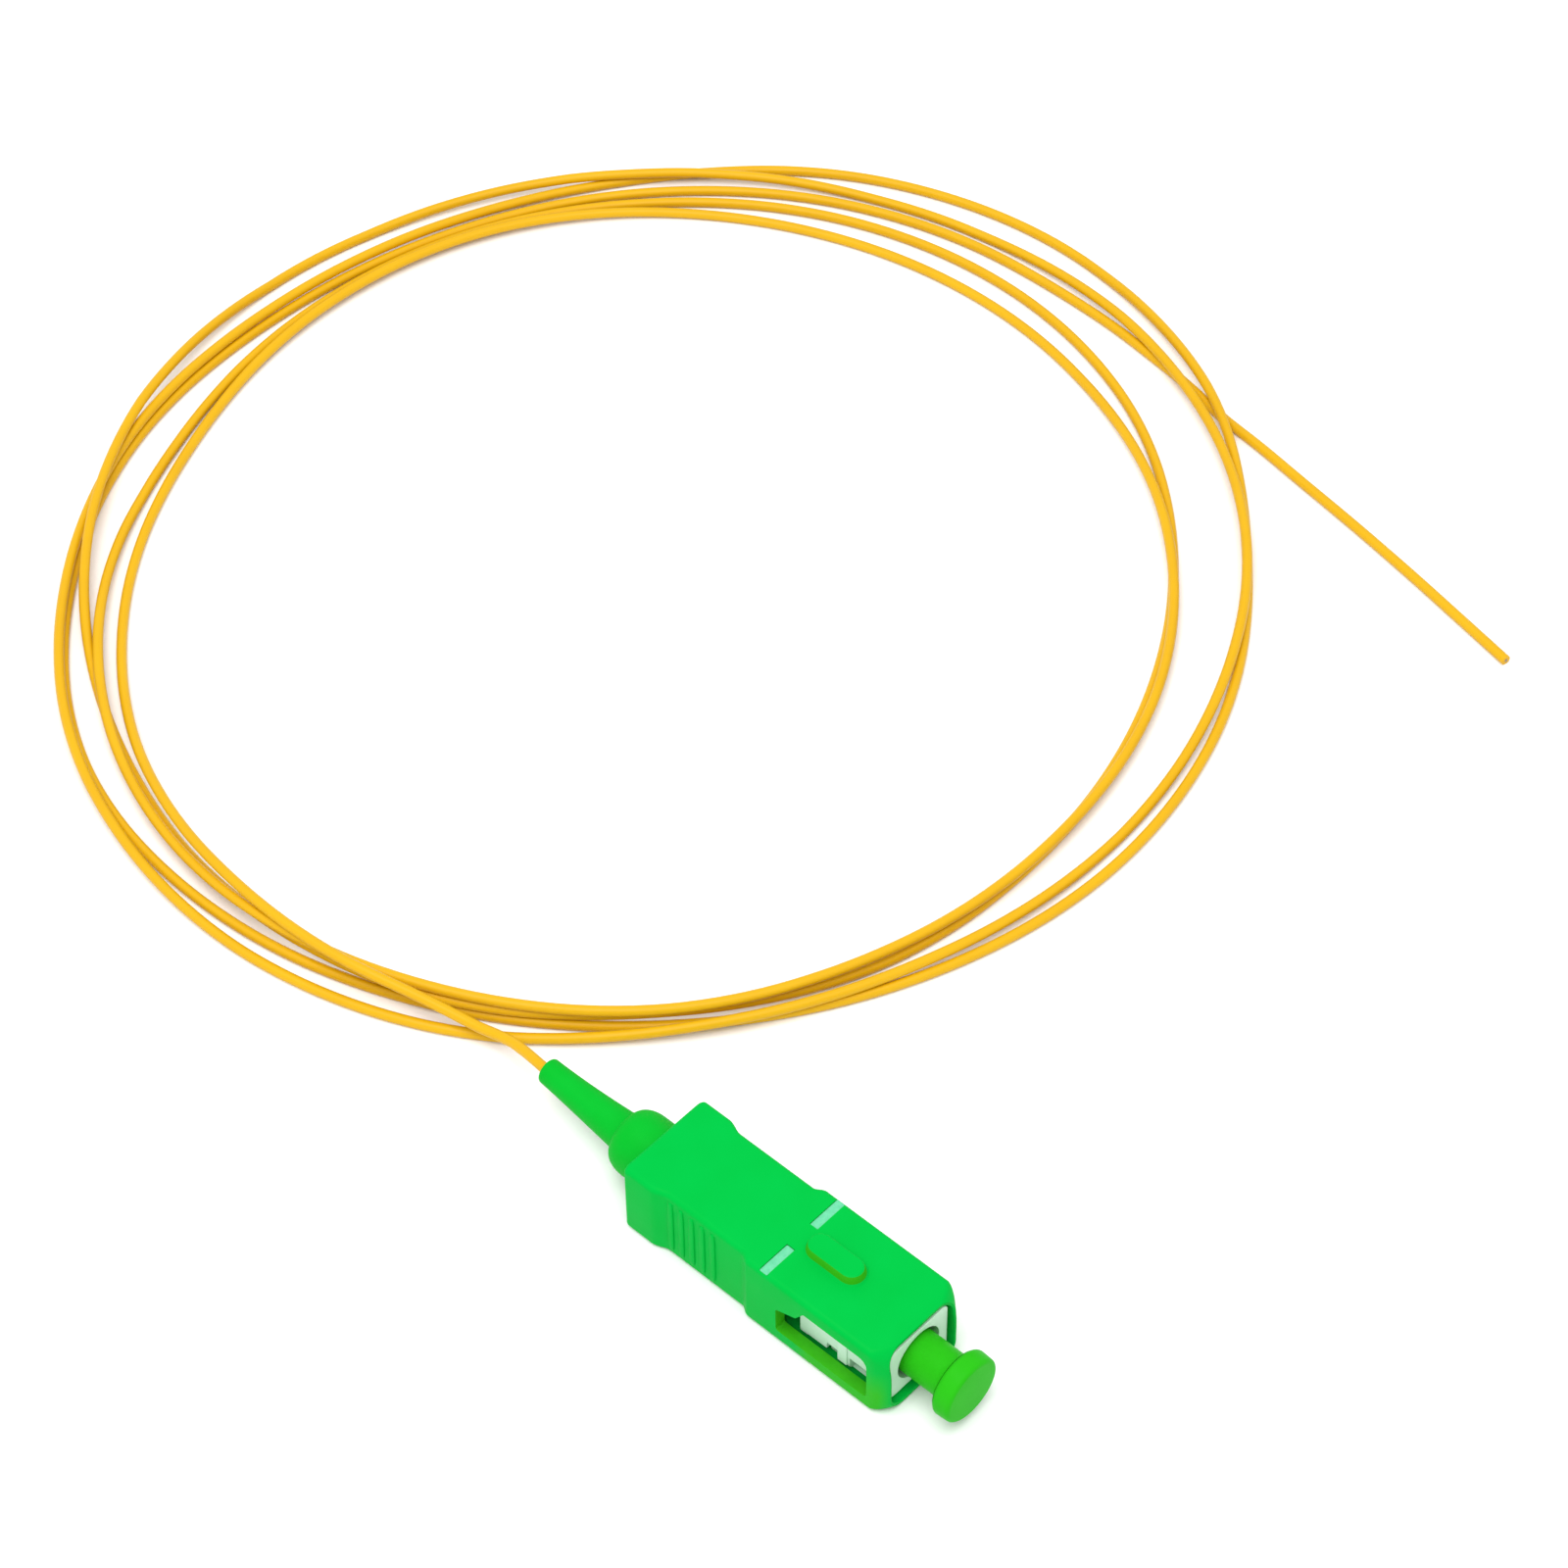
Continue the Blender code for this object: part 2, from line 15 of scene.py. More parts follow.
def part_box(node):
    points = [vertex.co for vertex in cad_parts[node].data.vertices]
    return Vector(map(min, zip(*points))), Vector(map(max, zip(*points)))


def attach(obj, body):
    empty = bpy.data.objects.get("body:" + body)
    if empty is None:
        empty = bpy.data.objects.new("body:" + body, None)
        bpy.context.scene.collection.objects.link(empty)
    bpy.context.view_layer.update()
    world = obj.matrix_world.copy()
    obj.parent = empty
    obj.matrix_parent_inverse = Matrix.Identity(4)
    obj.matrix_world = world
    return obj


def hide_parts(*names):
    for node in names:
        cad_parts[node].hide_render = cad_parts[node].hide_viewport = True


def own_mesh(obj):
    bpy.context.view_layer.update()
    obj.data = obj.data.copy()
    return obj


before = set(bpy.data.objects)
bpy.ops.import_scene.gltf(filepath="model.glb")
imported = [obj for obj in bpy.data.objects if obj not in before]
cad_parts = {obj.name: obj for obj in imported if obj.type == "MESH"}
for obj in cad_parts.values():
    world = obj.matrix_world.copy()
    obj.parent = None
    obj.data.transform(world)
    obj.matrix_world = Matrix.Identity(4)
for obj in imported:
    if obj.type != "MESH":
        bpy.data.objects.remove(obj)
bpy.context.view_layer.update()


# Camera
# The photograph looks down on the plug's near front corner through a long lens, with the coil behind it.
HEADING = math.radians(42.92)
ELEVATION = math.radians(49.3)
ROLL = math.radians(-0.57)
LOOKED_AT = Vector((-0.0304, 0.0366, 0.0))  # metres
CAMERA_AWAY = 0.400  # metres
LENS = 111.08

into = Vector((-math.sin(HEADING), math.cos(HEADING), 0))
across = Vector((math.cos(HEADING), math.sin(HEADING), 0))
forward = into * math.cos(ELEVATION) - Vector((0, 0, 1)) * math.sin(ELEVATION)
upward = into * math.sin(ELEVATION) + Vector((0, 0, 1)) * math.cos(ELEVATION)
rolled_right = across * math.cos(ROLL) + upward * math.sin(ROLL)
rolled_up = upward * math.cos(ROLL) - across * math.sin(ROLL)
camera_data = bpy.data.cameras.new("camera")
camera_data.lens = LENS
camera = bpy.data.objects.new("camera", camera_data)
camera.matrix_world = Matrix.Translation(LOOKED_AT - forward * CAMERA_AWAY) @ Matrix(
    (
        (rolled_right.x, rolled_up.x, -forward.x),
        (rolled_right.y, rolled_up.y, -forward.y),
        (rolled_right.z, rolled_up.z, -forward.z),
    )
).to_4x4()
bpy.context.scene.collection.objects.link(camera)
bpy.context.scene.camera = camera


# Fibre
# One 1.5 m length of single-mode fibre in a yellow 0.9 mm PVC tight buffer. It is glued into the ferrule's
# flange, leaves through the boot, lies in 4.6 loose turns and ends in a plain cut, ready for splicing.
MM = 0.001
FIBRE_DIAMETER = 0.9
CORE_RADIUS = 0.14
CORE_LENGTH = 0.06  # half of it stands out of the cut
BOOT_END = 39.2  # where the fibre comes out of the boot
COIL_CENTRE = (-71.9, 46.5)  # from the middle of the grip's front face
COIL_START = -67.5  # degrees round the coil, seen from above; the turns run clockwise
LEAD_ROUTE = [  # x from the grip's front, y, height above the floor
    (-15.9, 0.0, 3.7),
    (-24.0, 0.0, 3.7),
    (-31.0, 0.0, 3.7),
    (-35.5, 0.03, 3.73),
    (-38.8, 0.16, 3.80),
    (-40.4, 0.35, 3.66),
    (-42.0, 0.65, 3.24),
    (-43.7, 0.92, 2.72),
    (-45.7, 0.80, 2.24),
    (-48.6, 0.28, 1.75),
]
TURN_RADII = [  # eight places to a line, half a turn, from the top turn to the lowest
    (51.0, 49.1, 47.0, 45.0, 43.7, 44.2, 45.05, 45.2),
    (44.7, 44.35, 44.2, 44.45, 44.95, 45.4, 46.9, 49.0),
    (49.6, 49.8, 48.7, 46.9, 45.0, 45.1, 45.8, 46.5),
    (47.2, 47.1, 46.15, 44.75, 44.3, 45.1, 47.05, 48.5),
    (49.8, 49.1, 48.25, 48.6, 49.25, 50.2, 50.1, 49.6),
    (50.7, 51.3, 51.4, 51.0, 49.7, 48.8, 49.05, 50.3),
    (52.1, 52.6, 51.95, 50.25, 48.8, 47.3, 47.6, 49.8),
    (53.1, 54.45, 53.3, 51.1, 50.8, 50.4, 49.6, 49.3),
    (49.95, 51.0, 51.5, 49.95, 48.5, 46.8, 46.7, 47.9),
    (49.2, 49.8),
]
TAIL_ROUTE = [
    (-63.1, 96.2, 0.45),
    (-56.0, 95.4, 0.45),
    (-51.0, 94.55, 0.45),
    (-47.8, 93.8, 0.45),
    (-42.6, 93.1, 0.45),
    (-37.2, 92.2, 0.45),
    (-30.5, 91.1, 0.45),
    (-23.5, 89.8, 0.45),
    (-17.2, 88.5, 0.45),
    (-11.5, 87.3, 0.45),
]
GIVEN_STEP = 22.5  # degrees between the given radii
COIL_STEP = 7.5  # degrees between the coil's worked-out points
FIBRE_STEP = 1.2  # between the finished curve's points
NEXT_STRAND = 30  # points further on, where the fibre can first meet itself again
HUMP_REACH = 7  # points to each side of a crossing
SETTLING_ROUNDS = 7
GLOSS_DRIFT = 0.06  # how far a finish's roughness strays to each side

front_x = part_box("outer_housing")[1].x / MM
axis_z = (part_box("ferrule")[0].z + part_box("ferrule")[1].z) / 2 / MM


def linear(code):
    """The shader's colour for an sRGB hex value."""
    parts = [int(code[i : i + 2], 16) / 255 for i in (1, 3, 5)]
    return [c / 12.92 if c <= 0.04045 else ((c + 0.055) / 1.055) ** 2.4 for c in parts] + [1.0]


def add_node(tree, kind, inputs=None, **settings):
    """Add a node; an input's value is a constant, or another node's output to link."""
    node = tree.nodes.new(kind)
    for name, value in settings.items():
        setattr(node, name, value)
    for name, value in (inputs or {}).items():
        if isinstance(value, bpy.types.NodeSocket):
            tree.links.new(value, node.inputs[name])
        else:
            node.inputs[name].default_value = value
    return node


def finish_of(name, light, dark, roughness, patch, grain, depth, metallic=0.0, **shader_values):
    """A material with a drifting colour and a grained skin; patch, grain and depth are sizes."""
    made = bpy.data.materials.new(name)
    made.use_nodes = True
    tree = made.node_tree
    shader = tree.nodes["Principled BSDF"]
    place = add_node(tree, "ShaderNodeTexCoord").outputs["Object"]
    patches = {"Vector": place, "Scale": 1 / (patch * MM), "Detail": 3.0}
    grains = {"Vector": place, "Scale": 1 / (grain * MM), "Detail": 4.0}
    drift = add_node(tree, "ShaderNodeTexNoise", patches)
    skin = add_node(tree, "ShaderNodeTexNoise", grains)
    tint = add_node(tree, "ShaderNodeMix", {"Factor": drift.outputs["Fac"]}, data_type="RGBA")
    tint.inputs["A"].default_value = linear(light)
    tint.inputs["B"].default_value = linear(dark)
    sheen = add_node(
        tree,
        "ShaderNodeMapRange",
        {
            "Value": skin.outputs["Fac"],
            "To Min": roughness - GLOSS_DRIFT,
            "To Max": roughness + GLOSS_DRIFT,
        },
    )
    relief = add_node(
        tree,
        "ShaderNodeBump",
        {"Height": skin.outputs["Fac"], "Strength": 1.0, "Distance": depth * MM},
    )
    tree.links.new(tint.outputs["Result"], shader.inputs["Base Color"])
    tree.links.new(sheen.outputs["Result"], shader.inputs["Roughness"])
    tree.links.new(relief.outputs["Normal"], shader.inputs["Normal"])
    shader.inputs["Metallic"].default_value = metallic
    for socket, value in shader_values.items():
        shader.inputs[socket.replace("_", " ")].default_value = value
    return made


def through(points, step):
    """Points every step along a smooth curve through a route's own points."""
    points = [np.array(p, float) for p in points]
    spans = [np.linalg.norm(b - a) for a, b in zip(points, points[1:])]
    slopes = [(points[1] - points[0]) / spans[0]]
    for i in range(1, len(points) - 1):
        slopes.append((points[i + 1] - points[i - 1]) / (spans[i - 1] + spans[i]))
    slopes.append((points[-1] - points[-2]) / spans[-1])
    read = [points[0]]
    for a, b, slope_a, slope_b, span in zip(points, points[1:], slopes, slopes[1:], spans):
        count = max(1, round(span / step))
        for k in range(1, count + 1):
            t = k / count
            read.append(
                (2 * t**3 - 3 * t**2 + 1) * a
                + (t**3 - 2 * t**2 + t) * span * slope_a
                + (3 * t**2 - 2 * t**3) * b
                + (t**3 - t**2) * span * slope_b
            )
    return np.array(read)


def coil_points():
    """The turns' plan, with the radius read smoothly between its given places."""
    radii = [r for half_turn in TURN_RADII for r in half_turn]
    places = []
    for i in range(round((len(radii) - 1) * GIVEN_STEP / COIL_STEP) + 1):
        spot = i * COIL_STEP / GIVEN_STEP
        k = min(int(spot), len(radii) - 2)
        t = spot - k
        a, b, c, d = (radii[min(max(k + j, 0), len(radii) - 1)] for j in (-1, 0, 1, 2))
        squared = a - 2.5 * b + 2 * c - d / 2
        cubed = 1.5 * (b - c) + (d - a) / 2
        radius = b + t * (c - a) / 2 + t**2 * squared + t**3 * cubed
        angle = math.radians(COIL_START - i * COIL_STEP)
        x = COIL_CENTRE[0] + radius * math.cos(angle)
        y = COIL_CENTRE[1] + radius * math.sin(angle)
        places.append((x, y, FIBRE_DIAMETER / 2))
    return places


def widened(values, reach):
    """Highest value within reach, then the mean within reach: a long low hump over each peak."""
    count = len(values)
    padded = np.pad(values, reach, mode="edge")
    highest = np.max([padded[k : k + count] for k in range(2 * reach + 1)], axis=0)
    padded = np.pad(highest, reach, mode="edge")
    return np.mean([padded[k : k + count] for k in range(2 * reach + 1)], axis=0)


def stacked(points):
    """Lift each stretch of fibre over the later ones that it crosses or lies on; the tail is lowest."""
    plan = points[:, :2]
    along = np.gradient(plan, axis=0)
    along /= np.linalg.norm(along, axis=1)[:, None]
    apart = plan[:, None, :] - plan[None, :, :]
    ahead = np.einsum("ijk,jk->ij", apart, along)
    beside = apart[..., 0] * along[None, :, 1] - apart[..., 1] * along[None, :, 0]
    order = np.arange(len(points))
    meets = (np.abs(ahead) < FIBRE_STEP) & (np.abs(beside) < FIBRE_DIAMETER)
    meets &= order[None, :] > order[:, None] + NEXT_STRAND
    rise = np.sqrt(np.maximum(FIBRE_DIAMETER**2 - beside**2, 0))
    route_height = points[:, 2]
    height = route_height.copy()
    for _ in range(SETTLING_ROUNDS):
        resting = np.where(meets, height[None, :] + rise, 0).max(axis=1)
        lifted = widened(np.maximum(resting, FIBRE_DIAMETER / 2), HUMP_REACH)
        height = np.maximum(lifted, route_height)
    points = points.copy()
    points[:, 2] = height
    return points


def add_piece(name, bm, material, sharp=30):
    """A smooth-shaded object from a bmesh, with edges sharper than an angle kept crisp."""
    bm.normal_update()
    bmesh.ops.recalc_face_normals(bm, faces=bm.faces)
    mesh = bpy.data.meshes.new(name)
    bm.to_mesh(mesh)
    bm.free()
    mesh.shade_smooth()
    mesh.set_sharp_from_angle(angle=math.radians(sharp))
    if material:
        mesh.materials.append(material)
    made = bpy.data.objects.new(name, mesh)
    bpy.context.scene.collection.objects.link(made)
    return made


route = stacked(through(LEAD_ROUTE + coil_points() + TAIL_ROUTE, FIBRE_STEP))
fibre_curve = bpy.data.curves.new("fibre", "CURVE")
fibre_curve.dimensions = "3D"
fibre_curve.bevel_depth = FIBRE_DIAMETER / 2 * MM
fibre_curve.bevel_resolution = 3
fibre_curve.use_fill_caps = True
fibre_line = fibre_curve.splines.new("POLY")
fibre_line.points.add(len(route) - 1)
for point, (x, y, z) in zip(fibre_line.points, route):
    point.co = ((front_x + x) * MM, y * MM, z * MM, 1)
fibre = bpy.data.objects.new("fibre", fibre_curve)
bpy.context.scene.collection.objects.link(fibre)

# PVC tight buffer, extruded: a warm opaque yellow with a soft satin sheen
fibre_curve.materials.append(
    finish_of(
        "tight_buffer_pvc",
        "#D8A808",
        "#CE9C05",
        0.42,
        patch=6.0,
        grain=0.35,
        depth=0.012,
        IOR=1.5,
        Specular_IOR_Level=0.2,
    )
)

# acrylate-coated glass, cut square: a dull grey-brown point in the middle of the yellow
core_end = Vector(fibre_line.points[-1].co[:3])
core_way = (core_end - Vector(fibre_line.points[-2].co[:3])).normalized()
core_bm = bmesh.new()
bmesh.ops.create_cone(
    core_bm,
    cap_ends=True,
    segments=24,
    radius1=CORE_RADIUS * MM,
    radius2=CORE_RADIUS * MM,
    depth=CORE_LENGTH * MM,
)
core_bm.transform(Matrix.Translation(core_end) @ core_way.to_track_quat("Z", "Y").to_matrix().to_4x4())
core_finish = finish_of(
    "coated_glass", "#8C7C74", "#7C6C66", 0.4, patch=0.5, grain=0.1, depth=0.0, IOR=1.5
)
fibre_core = add_piece("fibre_core", core_bm, core_finish)
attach(fibre_core, "connector")

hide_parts("fibre_lead", "fibre_coil", "fibre_tail")
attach(fibre, "connector")


# Ferrule
# The 2.5 mm zirconia ferrule that holds the glass in its bore. It is ground round, its rim is chamfered
# and its end is polished at 8 degrees, so that what it reflects leaves the fibre.
FERRULE_RADIUS = 1.25
FERRULE_LENGTH = 10.5
FERRULE_AHEAD = 0.8  # in front of the grip
FERRULE_ANGLE = math.radians(8)
FERRULE_CHAMFER = (0.6, 0.35)  # along the ferrule, and in from its round side
GLASS_RADIUS = 0.0625
GLASS_PROUD = 0.004
GLASS_BACK = 0.5
TURNED_SIDES = 72


def filleted(corners, steps=5):
    """A closed outline from corners given as (x, y, radius), each rounded off by its radius."""
    outline = []
    for i, (x, y, radius) in enumerate(corners):
        corner = Vector((x, y))
        if radius == 0:
            outline.append(corner)
            continue
        back = (Vector(corners[i - 1][:2]) - corner).normalized()
        on = (Vector(corners[(i + 1) % len(corners)][:2]) - corner).normalized()
        half_angle = back.angle(on) / 2
        middle = corner + (back + on).normalized() * radius / math.sin(half_angle)
        first = corner + back * radius / math.tan(half_angle) - middle
        last = corner + on * radius / math.tan(half_angle) - middle
        sweep = math.atan2(first.x * last.y - first.y * last.x, first.dot(last))
        for k in range(steps + 1):
            outline.append(middle + Matrix.Rotation(sweep * k / steps, 2) @ first)
    return outline


def on_plug(behind, y, above):
    """A place on the plug in metres, from millimetres behind its front, across it and above its axis."""
    return ((front_x - behind) * MM, y * MM, (axis_z + above) * MM)


def turned(name, outline, material, shape=lambda behind, y, z: (behind, y, z)):
    """A turned piece on the plug's axis from a closed outline of (behind, radius), then bent by shape."""
    bm = bmesh.new()
    rings = []
    for behind, radius in outline:
        ring = []
        for i in range(TURNED_SIDES if radius > 0 else 1):
            angle = 2 * math.pi * i / TURNED_SIDES
            bent = shape(behind, radius * math.cos(angle), radius * math.sin(angle))
            ring.append(bm.verts.new(on_plug(*bent)))
        rings.append(ring)
    for a, b in zip(rings, rings[1:] + rings[:1]):
        for i in range(TURNED_SIDES):
            j = (i + 1) % TURNED_SIDES
            corners = [a[i % len(a)], a[j % len(a)], b[j % len(b)], b[i % len(b)]]
            corners = list(dict.fromkeys(corners))
            if len(corners) > 2:
                bm.faces.new(corners)
    return add_piece(name, bm, material)


def angled_tip(behind, y, z):
    """Lean the end face back by the polish angle."""
    return (behind + (z * math.tan(FERRULE_ANGLE) if behind < 0 else 0), y, z)


# zirconia, ground and polished: dense off-white ceramic with a clear hard gloss
zirconia = finish_of(
    "polished_zirconia", "#F1EEE6", "#E7E3D8", 0.14, patch=2.5, grain=0.2, depth=0.002, IOR=2.1
)
ferrule_end = FERRULE_LENGTH - FERRULE_AHEAD
ferrule = turned(
    "ferrule_polished",
    filleted(
        [
            (-FERRULE_AHEAD, 0, 0),
            (-FERRULE_AHEAD, FERRULE_RADIUS - FERRULE_CHAMFER[1], 0.08),
            (-FERRULE_AHEAD + FERRULE_CHAMFER[0], FERRULE_RADIUS, 0.1),
            (ferrule_end, FERRULE_RADIUS, 0.15),
            (ferrule_end, 0, 0),
        ]
    ),
    zirconia,
    angled_tip,
)
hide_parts("ferrule")
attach(ferrule, "ferrule_unit")

# The glass itself shows as a dark point in the middle of the polished end.
glass_front = -FERRULE_AHEAD - GLASS_PROUD
glass = turned(
    "ferrule_glass",
    [(glass_front, 0), (glass_front, GLASS_RADIUS), (GLASS_BACK, GLASS_RADIUS), (GLASS_BACK, 0)],
    finish_of("polished_silica", "#31363B", "#23282D", 0.08, patch=0.5, grain=0.1, depth=0.0, IOR=1.46),
    angled_tip,
)
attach(glass, "ferrule_unit")


# Ferrule flange
# A nickel-plated brass cup pressed on the ferrule, with a tail tube that holds the fibre. It is turned on
# a lathe, and four milled slots in its rim key it in the plug frame.
flange_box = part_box("ferrule_flange")
FLANGE_FRONT = front_x - flange_box[1].x / MM
FLANGE_TAIL_END = front_x - flange_box[0].x / MM
FLANGE_RIM = (flange_box[1].y - flange_box[0].y) / 2 / MM
FLANGE_CUP = FERRULE_RADIUS + 0.03
FLANGE_BACK = ferrule_end + 0.9
FLANGE_FLOOR = ferrule_end + 0.02
FLANGE_BEVEL = (0.4, 0.15)  # along the flange, and in from its rim
FLANGE_TAIL = 1.05
FLANGE_BORE = 0.5
SLOT_WIDTH = 0.6
SLOT_DEPTH = 0.35
SLOT_LENGTH = 1.6
MERGE_WITHIN = 0.002
FLAT_WITHIN = math.radians(0.5)


def box_tool(low, high):
    """A plain block for cutting, between two corners given as (behind, y, height above the axis)."""
    bm = bmesh.new()
    bmesh.ops.create_cube(bm, size=1)
    for vertex in bm.verts:
        vertex.co = on_plug(*(lo + (hi - lo) * (c + 0.5) for lo, hi, c in zip(low, high, vertex.co)))
    return add_piece("tool", bm, None)


def settle(piece):
    """Turn a piece's modifiers into its plain mesh."""
    bpy.context.view_layer.update()
    evaluated = piece.evaluated_get(bpy.context.evaluated_depsgraph_get())
    mesh = bpy.data.meshes.new_from_object(evaluated)
    piece.modifiers.clear()
    piece.data = mesh


def carve(piece, tools, operation="DIFFERENCE"):
    """Cut tools from a piece, or join them to it, and drop the tools."""
    for tool in tools:
        modifier = piece.modifiers.new("carve", "BOOLEAN")
        modifier.operation = operation
        modifier.solver = "EXACT"
        modifier.object = tool
    settle(piece)
    for tool in tools:
        bpy.data.objects.remove(tool, do_unlink=True)


def break_edges(piece, width, segments=2, limit=35):
    """Round every edge that is sharper than the limit, as a mould or a lathe tool leaves it."""
    bm = bmesh.new()
    bm.from_mesh(piece.data)
    bmesh.ops.remove_doubles(bm, verts=bm.verts, dist=MERGE_WITHIN * MM)
    bmesh.ops.dissolve_limit(bm, angle_limit=FLAT_WITHIN, verts=bm.verts, edges=bm.edges)
    bm.to_mesh(piece.data)
    bm.free()
    modifier = piece.modifiers.new("edges", "BEVEL")
    modifier.width = width * MM
    modifier.segments = segments
    modifier.limit_method = "ANGLE"
    modifier.angle_limit = math.radians(limit)
    modifier.use_clamp_overlap = True
    modifier.harden_normals = True
    settle(piece)


# nickel over brass, lathe-turned: a warm grey metal with a soft gloss
nickel = finish_of(
    "nickel_plated_brass", "#C9C4B8", "#B6B0A3", 0.26, patch=1.5, grain=0.12, depth=0.002, metallic=1.0
)
flange = turned(
    "ferrule_flange_turned",
    filleted(
        [
            (FLANGE_FRONT, FLANGE_CUP, 0.05),
            (FLANGE_FRONT, FLANGE_RIM - FLANGE_BEVEL[1], 0.05),
            (FLANGE_FRONT + FLANGE_BEVEL[0], FLANGE_RIM, 0.05),
            (FLANGE_BACK, FLANGE_RIM, 0.12),
            (FLANGE_BACK, FLANGE_TAIL, 0.2),
            (FLANGE_TAIL_END, FLANGE_TAIL, 0.1),
            (FLANGE_TAIL_END, FLANGE_BORE, 0.05),
            (FLANGE_FLOOR, FLANGE_BORE, 0),
            (FLANGE_FLOOR, FLANGE_CUP, 0),
        ]
    ),
    nickel,
)
slots = []
slot_front = FLANGE_FRONT - 0.5
slot_end = FLANGE_FRONT + SLOT_LENGTH
half = SLOT_WIDTH / 2
for side in (-1, 1):
    reach = sorted((side * (FLANGE_RIM - SLOT_DEPTH), side * (FLANGE_RIM + 0.5)))
    slots.append(box_tool((slot_front, reach[0], -half), (slot_end, reach[1], half)))
    slots.append(box_tool((slot_front, -half, reach[0]), (slot_end, half, reach[1])))
carve(flange, slots)
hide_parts("ferrule_flange")
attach(flange, "ferrule_unit")


# Spring
# The stainless compression spring that keeps the ferrule pushed forward. It is coiled from drawn wire,
# and its ends are left round, bearing on the flange and the rear body.
spring_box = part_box("spring")
SPRING_WIRE = 0.45
SPRING_TURNS = 6.0
SPRING_RADIUS = (spring_box[1].y - spring_box[0].y) / 2 / MM - SPRING_WIRE / 2


def node_group(name, *inputs):
    """A Geometry Nodes tree with named inputs, given as (name, socket kind, value)."""
    tree = bpy.data.node_groups.new(name, "GeometryNodeTree")
    for label, kind, value in inputs:
        socket = tree.interface.new_socket(label, in_out="INPUT", socket_type=kind)
        socket.default_value = value
    tree.interface.new_socket("Geometry", in_out="OUTPUT", socket_type="NodeSocketGeometry")
    return tree, add_node(tree, "NodeGroupInput").outputs


def grown(name, tree, result, material, **values):
    """The plain mesh that a Geometry Nodes tree makes with these input values."""
    finished = add_node(tree, "GeometryNodeSetMaterial", {"Geometry": result, "Material": material})
    add_node(tree, "NodeGroupOutput", {"Geometry": finished.outputs["Geometry"]})
    mesh = bpy.data.meshes.new(name)
    made = bpy.data.objects.new(name, mesh)
    bpy.context.scene.collection.objects.link(made)
    modifier = made.modifiers.new(name, "NODES")
    modifier.node_group = tree
    for socket in tree.interface.items_tree:
        if socket.in_out == "INPUT" and socket.name in values:
            modifier[socket.identifier] = values[socket.name]
    settle(made)
    made.data.name = name
    return made


spring_tree, given = node_group(
    "spring_helix",
    ("Radius", "NodeSocketFloat", 0.001),
    ("Length", "NodeSocketFloat", 0.006),
    ("Turns", "NodeSocketFloat", 6.0),
    ("Wire", "NodeSocketFloat", 0.0004),
    ("Start", "NodeSocketVector", (0, 0, 0)),
)
helix = add_node(
    spring_tree,
    "GeometryNodeCurveSpiral",
    {
        "Resolution": 40,
        "Rotations": given["Turns"],
        "Start Radius": given["Radius"],
        "End Radius": given["Radius"],
        "Height": given["Length"],
    },
)
half_wire = add_node(spring_tree, "ShaderNodeMath", {0: given["Wire"], 1: 0.5}, operation="MULTIPLY")
section = add_node(
    spring_tree,
    "GeometryNodeCurvePrimitiveCircle",
    {"Resolution": 14, "Radius": half_wire.outputs[0]},
)
wire = add_node(
    spring_tree,
    "GeometryNodeCurveToMesh",
    {"Curve": helix.outputs["Curve"], "Profile Curve": section.outputs["Curve"], "Fill Caps": True},
)
laid = add_node(
    spring_tree,
    "GeometryNodeTransform",
    {
        "Geometry": wire.outputs["Mesh"],
        "Translation": given["Start"],
        "Rotation": (0, math.radians(90), 0),
    },
)
smooth = add_node(
    spring_tree,
    "GeometryNodeSetShadeSmooth",
    {"Geometry": laid.outputs["Geometry"], "Shade Smooth": True},
)
# stainless wire, cold-drawn: a plain grey metal, glossier along the wire's round side
spring = grown(
    "spring_wound",
    spring_tree,
    smooth.outputs["Geometry"],
    finish_of(
        "drawn_spring_steel",
        "#B4B5B8",
        "#9C9DA1",
        0.3,
        patch=1.0,
        grain=0.1,
        depth=0.002,
        metallic=1.0,
    ),
    Radius=SPRING_RADIUS * MM,
    Length=spring_box[1].x - spring_box[0].x - SPRING_WIRE * MM,
    Turns=SPRING_TURNS,
    Wire=SPRING_WIRE * MM,
    Start=(spring_box[0].x + SPRING_WIRE / 2 * MM, 0, axis_z * MM),
)
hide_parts("spring")
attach(spring, "connector")
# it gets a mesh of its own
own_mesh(spring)


# Plug frame
# The white PBT body that the grip slides on. It is injection moulded in one piece, with a round bore for
# the ferrule and the cap, and ramps and pockets in both sides that an adapter's hooks snap into.
frame_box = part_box("inner_housing")
FRAME_FRONT = front_x - frame_box[1].x / MM
FRAME_END = front_x - frame_box[0].x / MM
FRAME_HALF_WIDTH = (frame_box[1].y - frame_box[0].y) / 2 / MM
FRAME_HALF_HEIGHT = (frame_box[1].z - frame_box[0].z) / 2 / MM
FRAME_CORNER = 0.55
FRAME_BORE = 2.3
RIDGE = (4.7, 5.6)  # the upright bar in each side
RIDGE_HALF_HEIGHT = 2.3
RIDGE_PROUD = 0.15
RIDGE_ROOT = 0.3  # how deep in the side it starts
SHOULDER = (6.2, 7.2)  # the step in the bore
SHOULDER_BORE = FERRULE_RADIUS + 0.3
